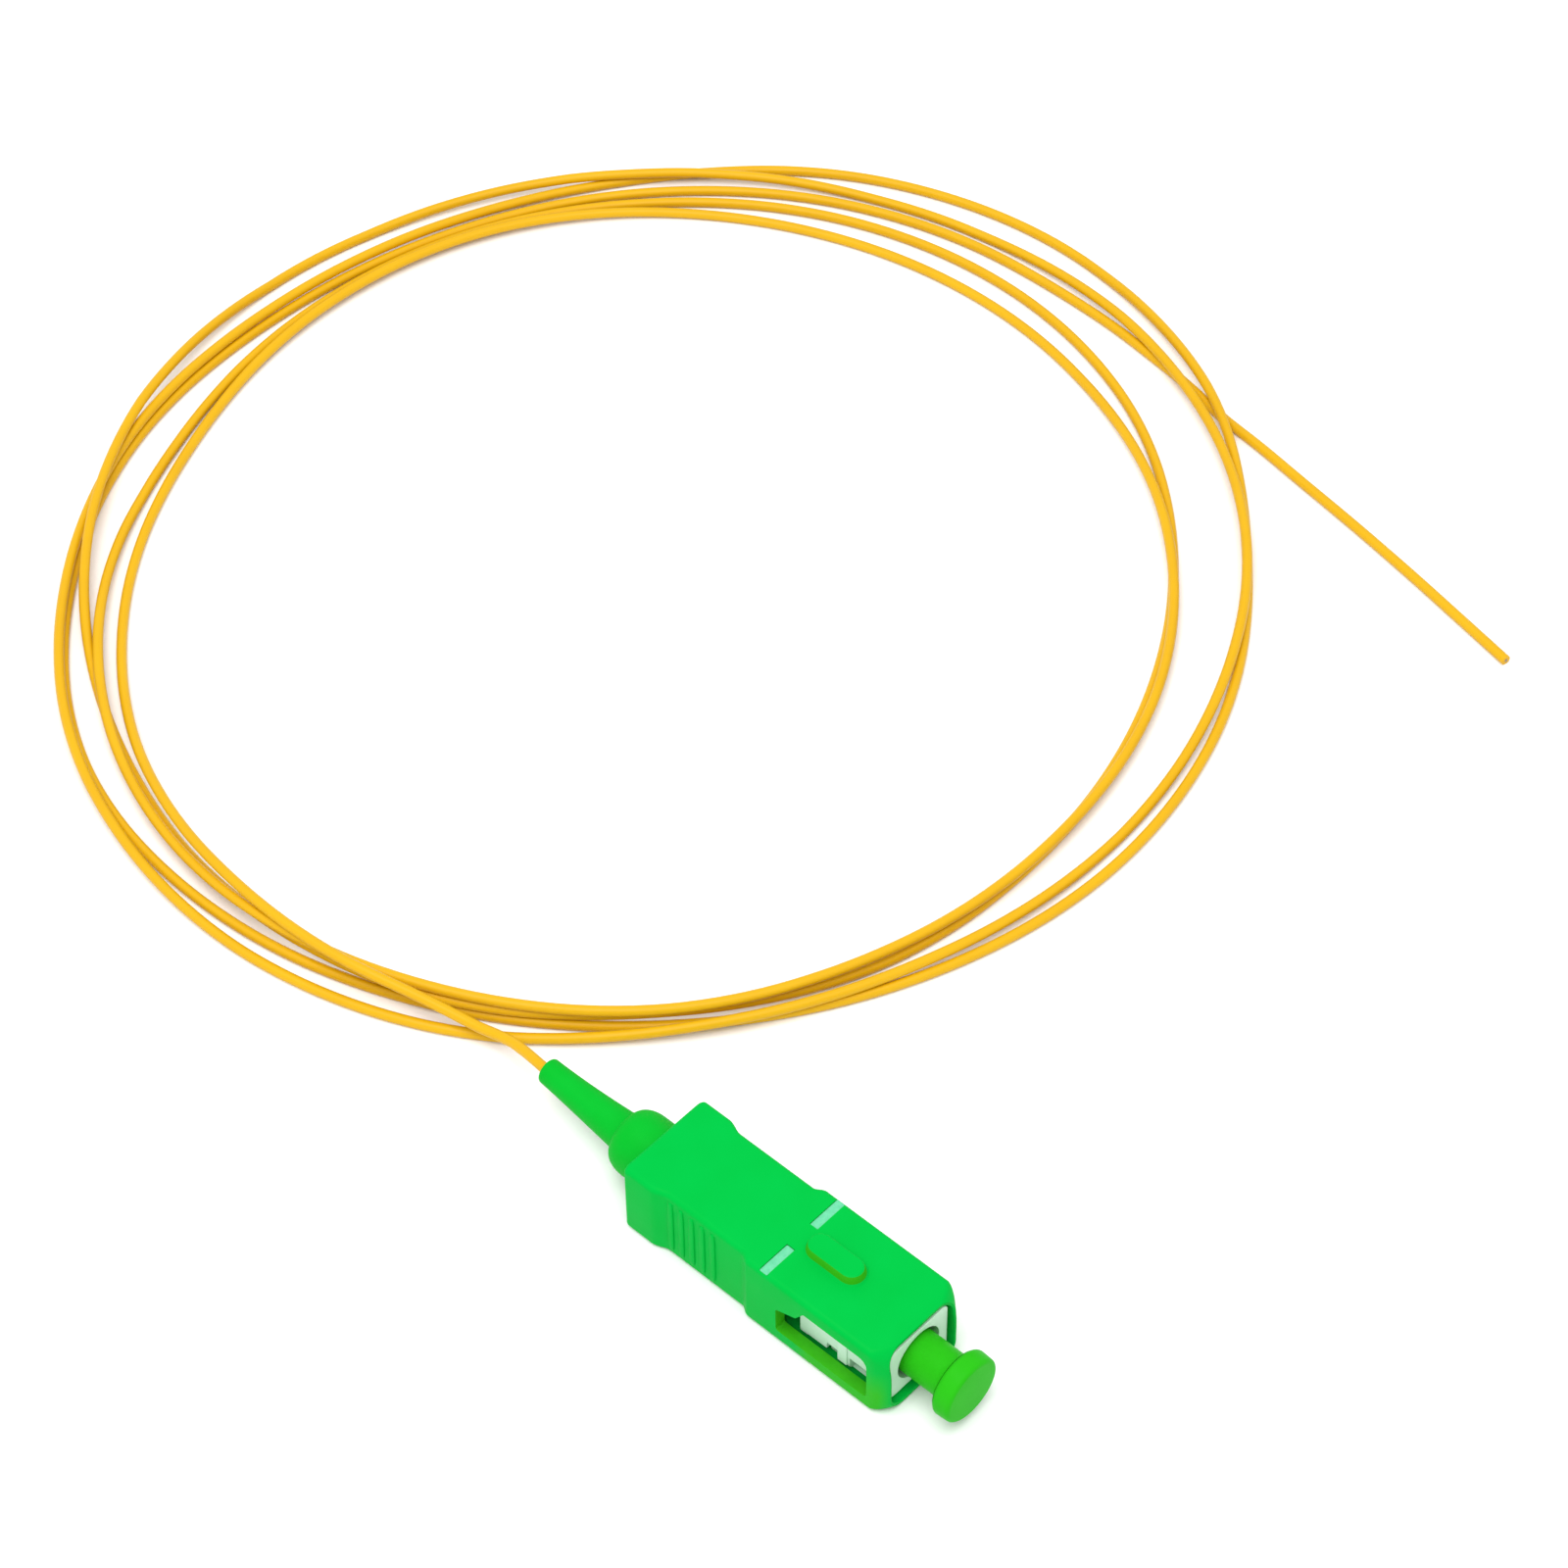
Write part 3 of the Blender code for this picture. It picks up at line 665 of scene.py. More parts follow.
FRAME_POCKETS = [  # in each side: front, rear, lowest and highest above the axis, depth
    (2.7, 4.5, -2.75, -1.35, 1.0),
    (2.7, 4.5, 1.35, 2.75, 1.0),
    (5.75, 6.8, -3.0, -1.5, 0.5),
    (5.75, 6.8, 1.5, 3.0, 0.5),
    (6.8, 8.8, -3.0, -2.25, 1.1),
    (6.8, 8.8, 2.25, 3.0, 1.1),
    (9.5, 12.4, -1.6, 1.6, 0.7),
    (9.5, 12.4, -3.0, -1.6, 1.3),
    (9.5, 12.4, 1.6, 3.0, 1.3),
]


def rounded_section(half_width, half_height, radius, steps=6, side_steps=6):
    """Outline of a rounded rectangle, whose upright sides are cut into side_steps."""
    points = []
    for quarter, (side, top) in enumerate(((1, 1), (-1, 1), (-1, -1), (1, -1))):
        y = side * (half_width - radius)
        z = top * (half_height - radius)
        for i in range(steps + 1):
            angle = math.radians(90 * (quarter + i / steps))
            points.append((y + radius * math.cos(angle), z + radius * math.sin(angle)))
        if quarter in (1, 3):
            for i in range(1, side_steps):
                points.append((side * half_width, z * (1 - 2 * i / side_steps)))
    return points


def skin_over(bm, loops, closed=False):
    """Faces from loop to loop, and over both ends unless the last loop joins the first."""
    for a, b in zip(loops, loops[1:] + loops[:1] if closed else loops[1:]):
        for i in range(len(a)):
            j = (i + 1) % len(a)
            bm.faces.new((a[i], a[j], b[j], b[i]))
    if not closed:
        bm.faces.new(loops[0])
        bm.faces.new(loops[-1])


def lofted(name, sections, material, closed=False):
    """A body through rounded rectangles given as (behind, half width, half height, radius, bow).

    The bow is how far the section's top stands behind its sides. A closed body's last section
    joins its first, so that it is a sleeve, and another one's ends are covered.
    """
    bm = bmesh.new()
    loops = []
    for behind, half_width, half_height, radius, bow in sections:
        loop = []
        for y, z in rounded_section(half_width, half_height, radius):
            bowed = behind + bow * max(0.0, z / half_height) ** 2
            loop.append(bm.verts.new(on_plug(bowed, y, z)))
        loops.append(loop)
    skin_over(bm, loops, closed)
    return add_piece(name, bm, material)


# PBT, moulded, with a fine eroded skin: milky white, with green bounce light from the grip painted into
# its colour
white_pbt_painted_bounce = finish_of(
    "moulded_white_pbt_painted_bounce", "#CBE6D2", "#B6DABF", 0.42, patch=3.0, grain=0.18, depth=0.004, IOR=1.52
)
plug_frame = lofted(
    "plug_frame",
    [
        (FRAME_FRONT, FRAME_HALF_WIDTH, FRAME_HALF_HEIGHT, FRAME_CORNER, 0),
        (FRAME_END, FRAME_HALF_WIDTH, FRAME_HALF_HEIGHT, FRAME_CORNER, 0),
    ],
    white_pbt_painted_bounce,
)
bore_tool = turned(
    "tool",
    [
        (-1, 0),
        (-1, FRAME_BORE),
        (SHOULDER[0], FRAME_BORE),
        (SHOULDER[0], SHOULDER_BORE),
        (SHOULDER[1], SHOULDER_BORE),
        (SHOULDER[1], FRAME_BORE),
        (FRAME_END + 1, FRAME_BORE),
        (FRAME_END + 1, 0),
    ],
    None,
)
pocket_tools = [bore_tool]
for pocket_front, pocket_rear, low, high, depth in FRAME_POCKETS:
    for side in (-1, 1):
        reach = sorted((side * (FRAME_HALF_WIDTH - depth), side * (FRAME_HALF_WIDTH + 1)))
        pocket_tools.append(box_tool((pocket_front, reach[0], low), (pocket_rear, reach[1], high)))
carve(plug_frame, pocket_tools)
ridges = []
for side in (-1, 1):
    reach = sorted((side * (FRAME_HALF_WIDTH - RIDGE_ROOT), side * (FRAME_HALF_WIDTH + RIDGE_PROUD)))
    low = (RIDGE[0], reach[0], -RIDGE_HALF_HEIGHT)
    high = (RIDGE[1], reach[1], RIDGE_HALF_HEIGHT)
    ridges.append(box_tool(low, high))
carve(plug_frame, ridges, "UNION")
break_edges(plug_frame, width=0.09)
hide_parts("inner_housing")
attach(plug_frame, "connector")


# Rear body
# A turned, nickel-plated brass body pressed into the back of the plug frame. The spring bears on it, and
# the boot is pushed over its barbed stub.
body_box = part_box("stop_ring")
BODY_FRONT = front_x - body_box[1].x / MM
BODY_END = front_x - body_box[0].x / MM
BODY_RADIUS = FRAME_BORE - 0.02
BODY_BORE = 1.35  # the spring's room
SPRING_SEAT = 18.7
FIBRE_HOLE = 0.6
STUB_RADIUS = 1.7
BARBS = (BODY_END - 3.2, BODY_END - 1.6)  # where the stub's two barbs step up
BARB_FOOT = BODY_END - 2.0  # where the first has sloped down
BARB_TOP = STUB_RADIUS + 0.2
BARB_LOW = STUB_RADIUS - 0.1
rear_body = turned(
    "rear_body",
    filleted(
        [
            (BODY_FRONT, BODY_BORE, 0.1),
            (BODY_FRONT, BODY_RADIUS, 0.15),
            (FRAME_END, BODY_RADIUS, 0.05),
            (FRAME_END, STUB_RADIUS, 0.15),
            (BARBS[0], STUB_RADIUS, 0),
            (BARBS[0], BARB_TOP, 0.04),
            (BARB_FOOT, BARB_LOW, 0.04),
            (BARBS[1], BARB_LOW, 0.04),
            (BARBS[1], BARB_TOP, 0.04),
            (BODY_END, STUB_RADIUS - 0.2, 0.1),
            (BODY_END, FIBRE_HOLE, 0.05),
            (SPRING_SEAT, FIBRE_HOLE, 0),
            (SPRING_SEAT, BODY_BORE, 0),
        ]
    ),
    nickel,
)
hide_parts("stop_ring")
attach(rear_body, "connector")


# Boot
# The soft green sleeve on the rear body's stub that keeps the fibre from kinking. It is moulded in one
# piece: a collar that fits inside the grip, a round shoulder and a hollow taper that gives a little.
GRIP_LENGTH = 26.5
BOOT_COLLAR = 2.8
BOOT_SHOULDER = 1.7
BOOT_TAPER = 1.4  # how hollow the taper is; 1 would be straight
BOOT_FRONT = FRAME_END + 0.3
SHOULDER_END = GRIP_LENGTH + 3.9
BOOT_NECK = 1.65
BOOT_TIP = 1.1
BOOT_FILLET = 0.25  # at the taper's foot and round its tip
BOOT_BEVEL = 0.1
BOOT_MOUTH = 2.2
STUB_HOLE = 2.0
STUB_HOLE_END = (29.6, 30.0)  # it closes in from the first to the second
BOOT_BORE = 0.52
BOOT_LEAN = (0.22, 0.16)  # to the far side and up, at its tip


def boot_outline():
    """Half of its section: the outside from the collar to the tip, then the inside forward again."""
    outline = [
        (BOOT_FRONT, BOOT_MOUTH),
        (BOOT_FRONT, BOOT_COLLAR - BOOT_BEVEL),
        (BOOT_FRONT + BOOT_BEVEL, BOOT_COLLAR),
    ]
    shoulder_foot = BOOT_NECK + BOOT_FILLET
    for i in range(13):
        angle = math.radians(90 * i / 12)
        behind = SHOULDER_END - BOOT_SHOULDER * (1 - math.sin(angle))
        outline.append((behind, shoulder_foot + (BOOT_COLLAR - shoulder_foot) * math.cos(angle)))
    for i in range(1, 7):
        angle = math.radians(90 * i / 6)
        behind = SHOULDER_END + BOOT_FILLET * (1 - math.cos(angle))
        outline.append((behind, BOOT_NECK + BOOT_FILLET * (1 - math.sin(angle))))
    taper_start = SHOULDER_END + BOOT_FILLET
    for i in range(1, 22):
        share = i / 22
        behind = taper_start + (BOOT_END - taper_start) * share
        outline.append((behind, BOOT_TIP + (BOOT_NECK - BOOT_TIP) * (1 - share) ** BOOT_TAPER))
    for i in range(7):
        angle = math.radians(90 * i / 6)
        behind = BOOT_END - BOOT_FILLET * (1 - math.sin(angle))
        outline.append((behind, BOOT_TIP - BOOT_FILLET * (1 - math.cos(angle))))
    inside = [(BOOT_END, BOOT_BORE), (STUB_HOLE_END[1], BOOT_BORE), (STUB_HOLE_END[0], STUB_HOLE)]
    return outline + inside


def leaning(behind, y, z):
    """The taper's slight bend, up and to the far side, as the fibre pulls it."""
    past = max(0.0, (behind - SHOULDER_END) / (BOOT_END - SHOULDER_END))
    lean = past**1.5
    return behind, y + BOOT_LEAN[0] * lean, z + BOOT_LEAN[1] * lean


# thermoplastic elastomer, moulded: matt and slightly waxy, a slightly yellower green than the grip's
boot = turned(
    "boot_moulded",
    boot_outline(),
    finish_of(
        "moulded_elastomer",
        "#04AC2C",
        "#00A422",
        0.5,
        patch=2.5,
        grain=0.22,
        depth=0.008,
        IOR=1.48,
        Specular_IOR_Level=0.05,
    ),
    leaning,
)
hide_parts("boot")
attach(boot, "connector")


# Grip
# The green PBT sleeve that is pushed and pulled to plug the connector in and out. It slides on the plug
# frame, and is moulded with a window in each side, a key and two recessed marks on top, and a waist.
GRIP_HALF_WIDTH = 4.5
GRIP_HALF_HEIGHT = 3.7
GRIP_CORNER = 0.5
CAVITY_HALF_WIDTH = 3.5
CAVITY_HALF_HEIGHT = 3.1
CAVITY_CORNER = 0.9
CAVITY_MIDDLE = 13.0  # where its skin from the front meets its skin from the rear
MOUTH = [  # behind, and how much wider, higher and rounder in the corners than the cavity
    (0.12, 0.0, 0.0, 0.0),
    (0.03, 0.03, 0.04, 0.35),
    (0.0, 0.1, 0.14, 0.35),
]
FRONT_REACH = 1.4
FRONT_SIDE_INSET = 0.8
FRONT_TOP_INSET = 0.2
FRONT_BOW = 0.5
BOW_REACH = 1.5  # the bow is gone after this many times FRONT_REACH
FRONT_CORNER_MORE = 1.0  # the front's corners are rounder than the sleeve's
REAR_ROUND = 0.4
REAR_TOP_SHARE = 0.7  # its top and bottom edges are rounded less than its sides
WAIST = (13.7, 23.7)
WAIST_RAMPS = (1.0, 1.6)
WAIST_INSET = 0.45  # to the floor between the ribs
WINDOW = (1.7, 10.8)
WINDOW_HALF_HEIGHT = 2.3
WINDOW_CORNER = 0.5
WINDOW_CAM = [(10.8, 0.3), (8.8, 1.1), (8.0, 2.3)]  # the sloping edge that frees the adapter's hooks
MARK_MIDDLE = 12.15
MARK_WIDTH = 0.8
MARK_REACH = (1.25, 4.4)
MARK_DEPTH = 0.15
KEY_FRONT = 5.9
KEY_REAR = 11.6
KEY_FOOT = 1.3
KEY_STEPS = [  # above the grip's top, half width
    (-0.3, 1.3),
    (0.0, 1.3),
    (0.15, 1.14),
    (0.68, 1.02),
    (0.82, 0.97),
    (0.9, 0.84),
]
PAINTED_LIGHT_BEHIND = (9.0, 7.6)  # the painted light starts at the first and is full at the second
PAINTED_LIGHT_ABOVE = (1.6, -1.2)  # the same, above the axis
PAINTED_LIGHT_ACROSS = (3.7, 4.3)  # the same, out from the middle
PAINTED_LIGHT_SHARE = 0.7
WINDOW_RIM = 0.1
SKIN = 0.02  # a face this near a plain surface belongs to it


def grip_half_width(behind):
    """Half the sleeve's width, with the waist's smooth ramps."""
    into_waist = min((behind - WAIST[0]) / WAIST_RAMPS[0], (WAIST[1] - behind) / WAIST_RAMPS[1])
    share = min(1.0, max(0.0, into_waist))
    return GRIP_HALF_WIDTH - WAIST_INSET * (1 - math.cos(math.pi * share)) / 2


def grip_sections():
    """The sleeve's sections, from inside its front rim, over the outside to the rear, and back inside."""
    inside = (CAVITY_HALF_WIDTH, CAVITY_HALF_HEIGHT, CAVITY_CORNER)
    sections = [(1.0, *inside, FRONT_BOW / 2)]
    for behind, wider, higher, rounder in MOUTH:
        size = (CAVITY_HALF_WIDTH + wider, CAVITY_HALF_HEIGHT + higher, CAVITY_CORNER + rounder)
        sections.append((behind, *size, FRONT_BOW))
    for i in range(13):
        share = i / 12
        left = (1 - share) ** 2
        half_width = GRIP_HALF_WIDTH - FRONT_SIDE_INSET * left
        half_height = GRIP_HALF_HEIGHT - FRONT_TOP_INSET * left
        corner = GRIP_CORNER + FRONT_CORNER_MORE * (1 - share)
        bow = FRONT_BOW * max(0.0, 1 - share / BOW_REACH)
        sections.append((FRONT_REACH * share, half_width, half_height, corner, bow))
    sections.append((FRONT_REACH * BOW_REACH, GRIP_HALF_WIDTH, GRIP_HALF_HEIGHT, GRIP_CORNER, 0))
    ramps = [WAIST[0] + WAIST_RAMPS[0] * i / 8 for i in range(9)]
    ramps += [WAIST[1] - WAIST_RAMPS[1] * (8 - i) / 8 for i in range(9)]
    for behind in ramps:
        sections.append((behind, grip_half_width(behind), GRIP_HALF_HEIGHT, GRIP_CORNER, 0))
    for i in range(6):
        angle = math.radians(90 * i / 5)
        inset = REAR_ROUND * (1 - math.cos(angle))
        behind = GRIP_LENGTH - REAR_ROUND * (1 - math.sin(angle))
        half_height = GRIP_HALF_HEIGHT - inset * REAR_TOP_SHARE
        sections.append((behind, GRIP_HALF_WIDTH - inset, half_height, GRIP_CORNER, 0))
    sections.append((GRIP_LENGTH, CAVITY_HALF_WIDTH + 0.1, CAVITY_HALF_HEIGHT + 0.08, CAVITY_CORNER, 0))
    sections.append((GRIP_LENGTH - 0.1, *inside, 0))
    sections.append((CAVITY_MIDDLE, *inside, 0))
    return sections


def slot_tool(outline, y_from, y_to):
    """A cutter through a side, from an outline of (behind, height above the axis)."""
    bm = bmesh.new()
    loops = []
    for y in (y_from, y_to):
        loops.append([bm.verts.new(on_plug(b, y, z)) for b, z in outline])
    skin_over(bm, loops)
    return add_piece("tool", bm, None)


def key_tool():
    """The key: a long dome with round ends, whose sides flare out into the grip's top."""
    bm = bmesh.new()
    loops = []
    for above, half in KEY_STEPS:
        loop = []
        for end, first in ((KEY_FRONT + KEY_FOOT, -90), (KEY_REAR - KEY_FOOT, 90)):
            for i in range(13):
                angle = math.radians(first + 15 * i)
                behind = end - half * math.cos(angle)
                place = on_plug(behind, half * math.sin(angle), GRIP_HALF_HEIGHT + above)
                loop.append(bm.verts.new(place))
        loops.append(loop)
    skin_over(bm, loops)
    return add_piece("tool", bm, None)


# PBT, moulded, satin: a strong clear green
green_pbt = finish_of(
    "moulded_green_pbt",
    "#00B040",
    "#00A838",
    0.42,
    patch=4.0,
    grain=0.2,
    depth=0.006,
    IOR=1.52,
    Specular_IOR_Level=0.02,
)
# the same PBT with painted light and shade: a yellower green for the windows' inner walls and the key's
# sides
pbt_painted_light_and_shade = finish_of(
    "moulded_pbt_painted_light_and_shade",
    "#38A80A",
    "#2CA010",
    0.45,
    patch=1.5,
    grain=0.2,
    depth=0.006,
    IOR=1.52,
    Specular_IOR_Level=0.15,
)
# Painted light: below the windows and in front of them, the side walls' colour is mixed towards a yellower
# green.
tree = green_pbt.node_tree
shader = tree.nodes["Principled BSDF"]
plain_green = shader.inputs["Base Color"].links[0].from_socket
spot = add_node(tree, "ShaderNodeTexCoord").outputs["Object"]
parts = add_node(tree, "ShaderNodeSeparateXYZ", {"Vector": spot}).outputs
across_wall = add_node(tree, "ShaderNodeMath", {0: parts["Y"]}, operation="ABSOLUTE")
painted_light_mask = None
for value, none_at, full_at in (
    (parts["X"], front_x - PAINTED_LIGHT_BEHIND[0], front_x - PAINTED_LIGHT_BEHIND[1]),
    (parts["Z"], axis_z + PAINTED_LIGHT_ABOVE[0], axis_z + PAINTED_LIGHT_ABOVE[1]),
    (across_wall.outputs[0], *PAINTED_LIGHT_ACROSS),
):
    fade = add_node(
        tree, "ShaderNodeMapRange", {"Value": value, "From Min": none_at * MM, "From Max": full_at * MM}
    ).outputs["Result"]
    if painted_light_mask:
        fade = add_node(tree, "ShaderNodeMath", {0: painted_light_mask, 1: fade}, operation="MULTIPLY").outputs[0]
    painted_light_mask = fade
share = add_node(tree, "ShaderNodeMath", {0: painted_light_mask, 1: PAINTED_LIGHT_SHARE}, operation="MULTIPLY")
painted_light_mix = add_node(tree, "ShaderNodeMix", {"Factor": share.outputs[0]}, data_type="RGBA")
tree.links.new(plain_green, painted_light_mix.inputs["A"])
painted_light_mix.inputs["B"].default_value = linear("#38AA08")
tree.links.new(painted_light_mix.outputs["Result"], shader.inputs["Base Color"])

grip = lofted("grip", grip_sections(), green_pbt, closed=True)
window_outline = filleted(
    [
        (WINDOW[0], -WINDOW_HALF_HEIGHT, WINDOW_CORNER),
        (WINDOW[1], -WINDOW_HALF_HEIGHT, WINDOW_CORNER / 2),
        *((b, z, WINDOW_CORNER / 2) for b, z in WINDOW_CAM),
        (WINDOW[0], WINDOW_HALF_HEIGHT, WINDOW_CORNER * 1.6),
    ]
)
window_reach = GRIP_HALF_WIDTH + 1.5
openings = [slot_tool([tuple(p) for p in window_outline], -window_reach, window_reach)]
mark_front = MARK_MIDDLE - MARK_WIDTH / 2
mark_rear = MARK_MIDDLE + MARK_WIDTH / 2
mark_floor = GRIP_HALF_HEIGHT - MARK_DEPTH
for side in (-1, 1):
    reach = sorted((side * MARK_REACH[0], side * MARK_REACH[1]))
    openings.append(box_tool((mark_front, reach[0], mark_floor), (mark_rear, reach[1], mark_floor + 1)))
carve(grip, openings)
carve(grip, [key_tool()], "UNION")
break_edges(grip, width=0.12)
# Painted light and shade: the windows' inner walls and the key's sides take the yellower material.
grip.data.materials.append(pbt_painted_light_and_shade)
for face in grip.data.polygons:
    behind = front_x - face.center.x / MM
    out = abs(face.center.y) / MM
    above = face.center.z / MM - axis_z
    in_window = WINDOW[0] - WINDOW_RIM < behind < WINDOW[1] + WINDOW_RIM
    in_window = in_window and abs(above) < WINDOW_HALF_HEIGHT + WINDOW_RIM
    in_wall = CAVITY_HALF_WIDTH + SKIN < out < GRIP_HALF_WIDTH - SKIN
    through_wall = in_window and in_wall and abs(face.normal.y) < 0.8
    on_key_side = above > GRIP_HALF_HEIGHT + SKIN and face.normal.z < 0.5
    if on_key_side or through_wall:
        face.material_index = 1
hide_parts("outer_housing")
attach(grip, "grip")


# Grip ribs
# Five upright ridges in each side of the waist that the fingers pull on. They are moulded with the grip.
RIB_PITCH = 1.08
RIB_FIRST = 17.6
RIB_COUNT = 5
RIB_HALF_HEIGHT = 3.0
RIB_WIDTH = 0.56
RIB_PROUD = 0.16
RIB_POWERS = {"X": 0.55, "Y": 0.8, "Z": 0.35}  # the lower, the boxier the ball is along that axis

rib_tree, given = node_group(
    "grip_ribs",
    ("Count", "NodeSocketInt", RIB_COUNT),
    ("Pitch", "NodeSocketFloat", RIB_PITCH * MM),
    ("Width", "NodeSocketFloat", RIB_WIDTH * MM),
    ("Proud", "NodeSocketFloat", RIB_PROUD * MM),
    ("Height", "NodeSocketFloat", 2 * RIB_HALF_HEIGHT * MM),
    ("First", "NodeSocketVector", (0, 0, 0)),
)
step_back = add_node(rib_tree, "ShaderNodeMath", {0: given["Pitch"], 1: -1.0}, operation="MULTIPLY")
offset = add_node(rib_tree, "ShaderNodeCombineXYZ", {"X": step_back.outputs[0]})
row = add_node(
    rib_tree,
    "GeometryNodeMeshLine",
    {"Count": given["Count"], "Start Location": given["First"], "Offset": offset.outputs["Vector"]},
)
ball = add_node(rib_tree, "GeometryNodeMeshUVSphere", {"Segments": 20, "Rings": 16, "Radius": 1.0})
spot = add_node(rib_tree, "GeometryNodeInputPosition")
parts = add_node(rib_tree, "ShaderNodeSeparateXYZ", {"Vector": spot.outputs["Position"]})
size = {}
for axis, power in RIB_POWERS.items():
    plain = add_node(rib_tree, "ShaderNodeMath", {0: parts.outputs[axis]}, operation="ABSOLUTE")
    fuller = add_node(rib_tree, "ShaderNodeMath", {0: plain.outputs[0], 1: power}, operation="POWER")
    sign = add_node(rib_tree, "ShaderNodeMath", {0: parts.outputs[axis]}, operation="SIGN")
    size[axis] = add_node(
        rib_tree, "ShaderNodeMath", {0: fuller.outputs[0], 1: sign.outputs[0]}, operation="MULTIPLY"
    ).outputs[0]
boxy = add_node(rib_tree, "ShaderNodeCombineXYZ", {"X": size["X"], "Y": size["Y"], "Z": size["Z"]})
half_width = add_node(rib_tree, "ShaderNodeMath", {0: given["Width"], 1: 0.5}, operation="MULTIPLY")
half_height = add_node(rib_tree, "ShaderNodeMath", {0: given["Height"], 1: 0.5}, operation="MULTIPLY")
measure = add_node(
    rib_tree,
    "ShaderNodeCombineXYZ",
    {"X": half_width.outputs[0], "Y": given["Proud"], "Z": half_height.outputs[0]},
)
scaled = add_node(
    rib_tree,
    "ShaderNodeVectorMath",
    {0: boxy.outputs["Vector"], 1: measure.outputs["Vector"]},
    operation="MULTIPLY",
)
rib = add_node(
    rib_tree,
    "GeometryNodeSetPosition",
    {"Geometry": ball.outputs["Mesh"], "Position": scaled.outputs["Vector"]},
)
ribs = add_node(
    rib_tree,
    "GeometryNodeInstanceOnPoints",
    {"Points": row.outputs["Mesh"], "Instance": rib.outputs["Geometry"]},
)
solid = add_node(rib_tree, "GeometryNodeRealizeInstances", {"Geometry": ribs.outputs["Instances"]})
far = add_node(
    rib_tree, "GeometryNodeTransform", {"Geometry": solid.outputs["Geometry"], "Scale": (1.0, -1.0, 1.0)}
)
far_out = add_node(rib_tree, "GeometryNodeFlipFaces", {"Mesh": far.outputs["Geometry"]})
both = add_node(rib_tree, "GeometryNodeJoinGeometry")
rib_tree.links.new(solid.outputs["Geometry"], both.inputs["Geometry"])
rib_tree.links.new(far_out.outputs["Mesh"], both.inputs["Geometry"])
smooth = add_node(
    rib_tree, "GeometryNodeSetShadeSmooth", {"Geometry": both.outputs["Geometry"], "Shade Smooth": True}
)
grip_ribs = grown(
    "grip_ribs",
    rib_tree,
    smooth.outputs["Geometry"],
    green_pbt,
    Count=RIB_COUNT,
    Pitch=RIB_PITCH * MM,
    Width=RIB_WIDTH * MM,
    Proud=RIB_PROUD * MM,
    Height=2 * RIB_HALF_HEIGHT * MM,
    First=((front_x - RIB_FIRST) * MM, -(GRIP_HALF_WIDTH - WAIST_INSET) * MM, axis_z * MM),
)
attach(grip_ribs, "grip")


# Depth marks
# White ink printed into the two recesses on the grip's top. When they no longer show outside an adapter,
# the plug is fully in.
MARK_INK = 0.06
MARK_MARGIN = 0.03  # bare, beside the ink
MARK_END_MARGIN = 0.08  # bare, at its outer end
MARK_CORNER = 0.08
mark_bm = bmesh.new()
for side in (-1, 1):
    near, far = MARK_REACH[0] + MARK_MARGIN, MARK_REACH[1] - MARK_END_MARGIN
    low_y, high_y = sorted((side * near, side * far))
    outline = filleted(
        [
            (mark_front + MARK_MARGIN, low_y, MARK_CORNER),
            (mark_rear - MARK_MARGIN, low_y, MARK_CORNER),
            (mark_rear - MARK_MARGIN, high_y, MARK_CORNER),
            (mark_front + MARK_MARGIN, high_y, MARK_CORNER),
        ]
    )
    loops = []
    for z in (mark_floor, mark_floor + MARK_INK):
        loops.append([mark_bm.verts.new(on_plug(b, y, z)) for b, y in outline])
    skin_over(mark_bm, loops)
# pad-printing ink: matt white, thin enough that the green shows through in places
mark_ink = finish_of("white_ink", "#6CCB9E", "#42B080", 0.55, patch=0.3, grain=0.15, depth=0.006, IOR=1.5)
depth_marks = add_piece("depth_marks", mark_bm, mark_ink)
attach(depth_marks, "grip")


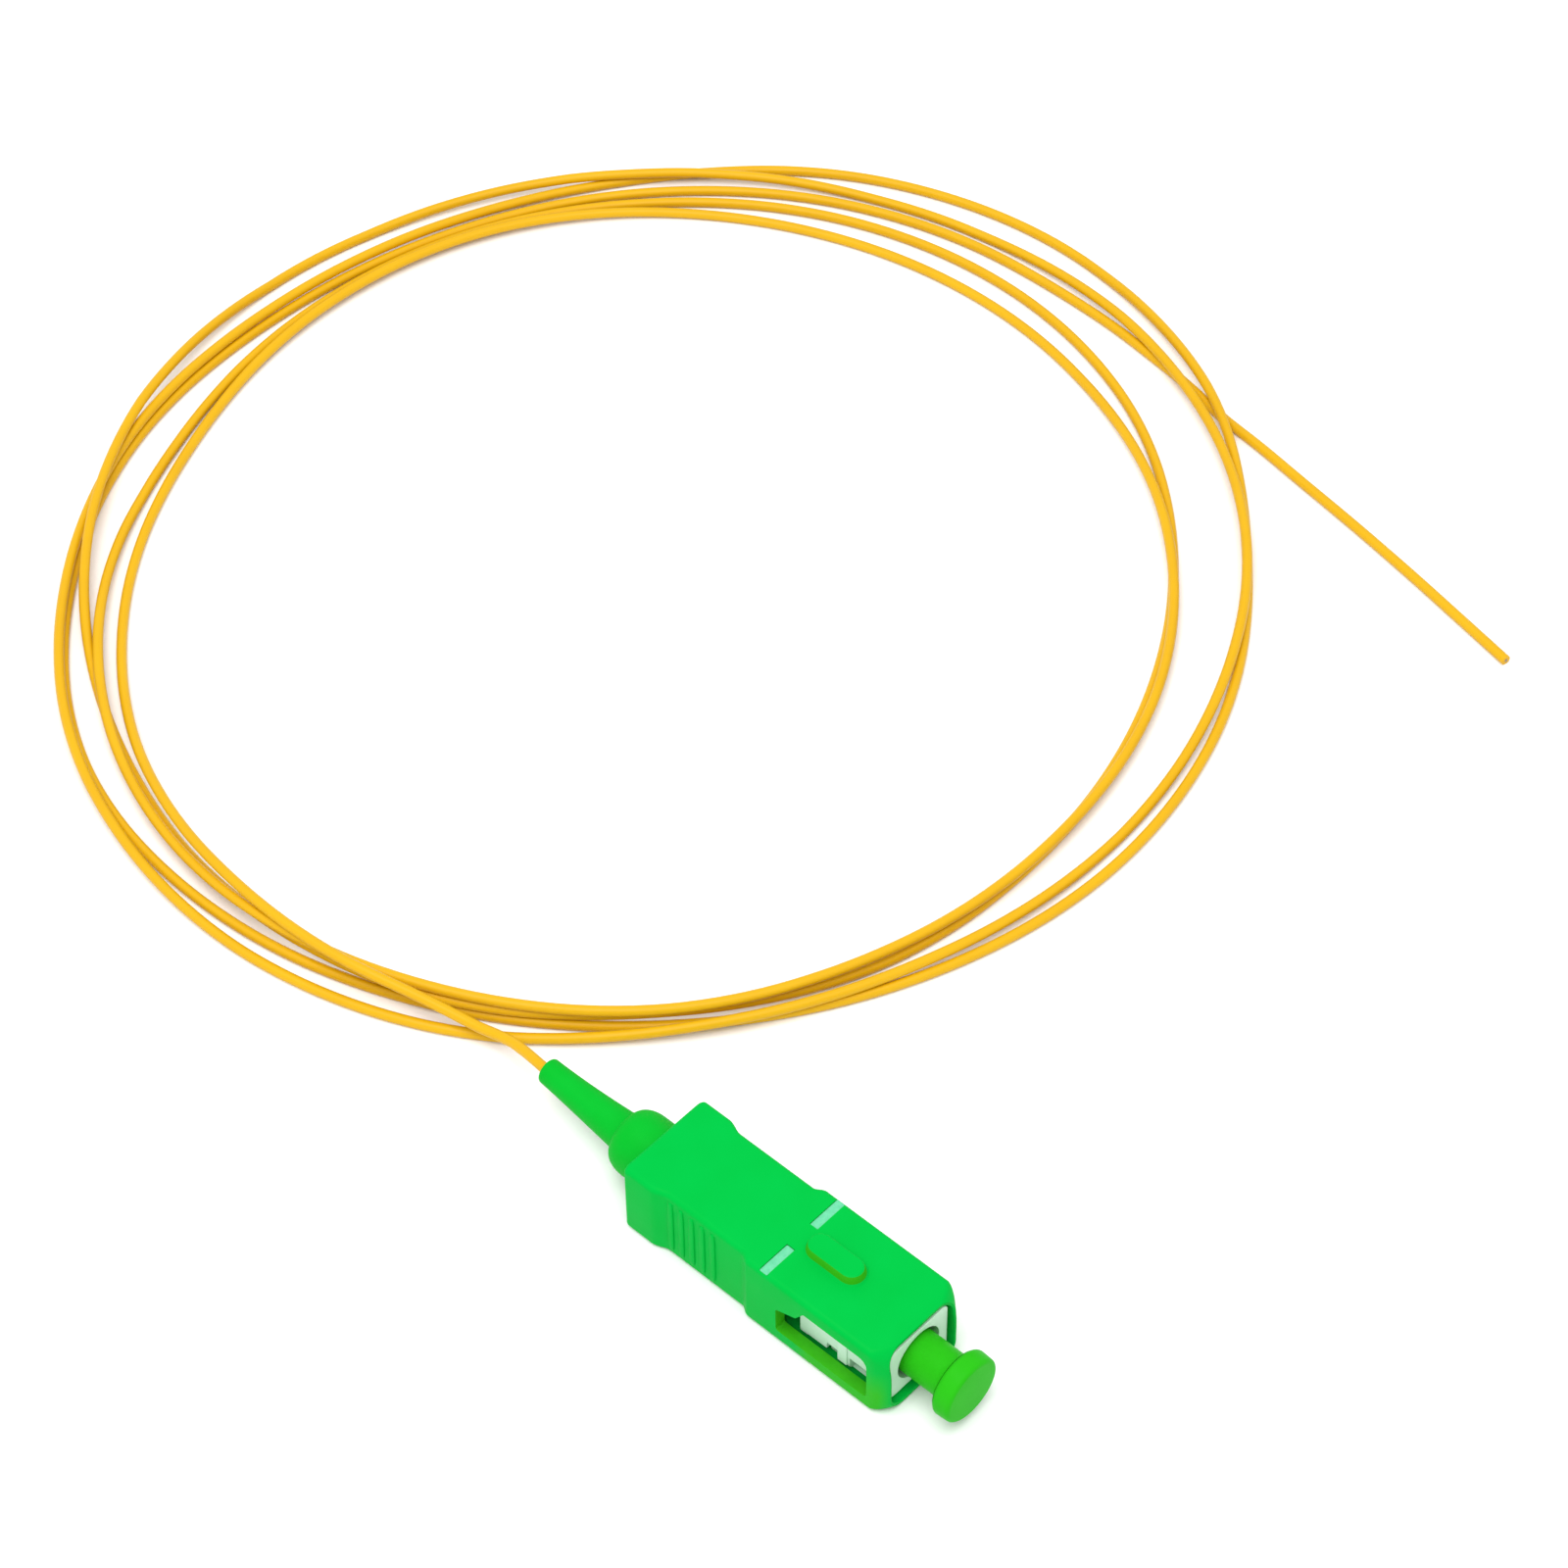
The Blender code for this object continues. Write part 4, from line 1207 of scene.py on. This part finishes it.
# Dust cap
# The yellow-green cap pushed over the ferrule to keep dust off its end. It is moulded in soft low-density
# polyethylene, with a flange to pull on.
cap_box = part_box("dust_cap")
CAP_BACK = front_x - cap_box[0].x / MM
CAP_FRONT = front_x - cap_box[1].x / MM
CAP_STEM = 1.9
CAP_RIM = 2.9
CAP_FLANGE = 1.7
CAP_HOLE = FERRULE_RADIUS + 0.04
CAP_FLOOR = -FERRULE_AHEAD - 0.3
dust_cap = turned(
    "dust_cap_moulded",
    filleted(
        [
            (CAP_BACK, CAP_HOLE, 0.1),
            (CAP_BACK, CAP_STEM, 0.12),
            (CAP_FRONT + CAP_FLANGE, CAP_STEM, 0.7),
            (CAP_FRONT + CAP_FLANGE, CAP_RIM, 0.45),
            (CAP_FRONT, CAP_RIM - 0.1, 0.35),
            (CAP_FRONT, 0, 0),
            (CAP_FLOOR, 0, 0),
            (CAP_FLOOR, CAP_HOLE, 0.1),
        ],
        steps=8,
    ),
    finish_of(
        "moulded_polyethylene",
        "#2AAF19",
        "#22A510",
        0.38,
        patch=2.0,
        grain=0.25,
        depth=0.006,
        IOR=1.51,
        Specular_IOR_Level=0.03,
    ),
)
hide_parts("dust_cap")
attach(dust_cap, "cap")


# Floor and light
# A plain white table in an even white tent, with a large soft light above the near side.
TABLE_SIZE = 3.0  # metres, as the light's place and size are
TENT_STRENGTH = 0.95
SOFTBOX_PLACE = Vector((0.05, -0.15, 0.6))
SOFTBOX_SIZE = 0.5
SOFTBOX_WATTS = 3.0

floor_bm = bmesh.new()
bmesh.ops.create_grid(floor_bm, x_segments=1, y_segments=1, size=TABLE_SIZE)
floor_finish = finish_of("matt_table", "#F4F4F4", "#F1F1F1", 0.9, patch=80.0, grain=2.0, depth=0.0)
floor = add_piece("floor", floor_bm, floor_finish)

world = bpy.data.worlds.new("tent")
world.use_nodes = True
world.node_tree.nodes["Background"].inputs["Color"].default_value = (1, 1, 1, 1)
world.node_tree.nodes["Background"].inputs["Strength"].default_value = TENT_STRENGTH
bpy.context.scene.world = world
bpy.context.scene.view_settings.view_transform = "Standard"

softbox_data = bpy.data.lights.new("softbox", "AREA")
softbox_data.shape = "DISK"
softbox_data.size = SOFTBOX_SIZE
softbox_data.energy = SOFTBOX_WATTS
softbox = bpy.data.objects.new("softbox", softbox_data)
softbox.location = SOFTBOX_PLACE
softbox.rotation_euler = (LOOKED_AT - SOFTBOX_PLACE).to_track_quat("-Z", "Y").to_euler()
bpy.context.scene.collection.objects.link(softbox)
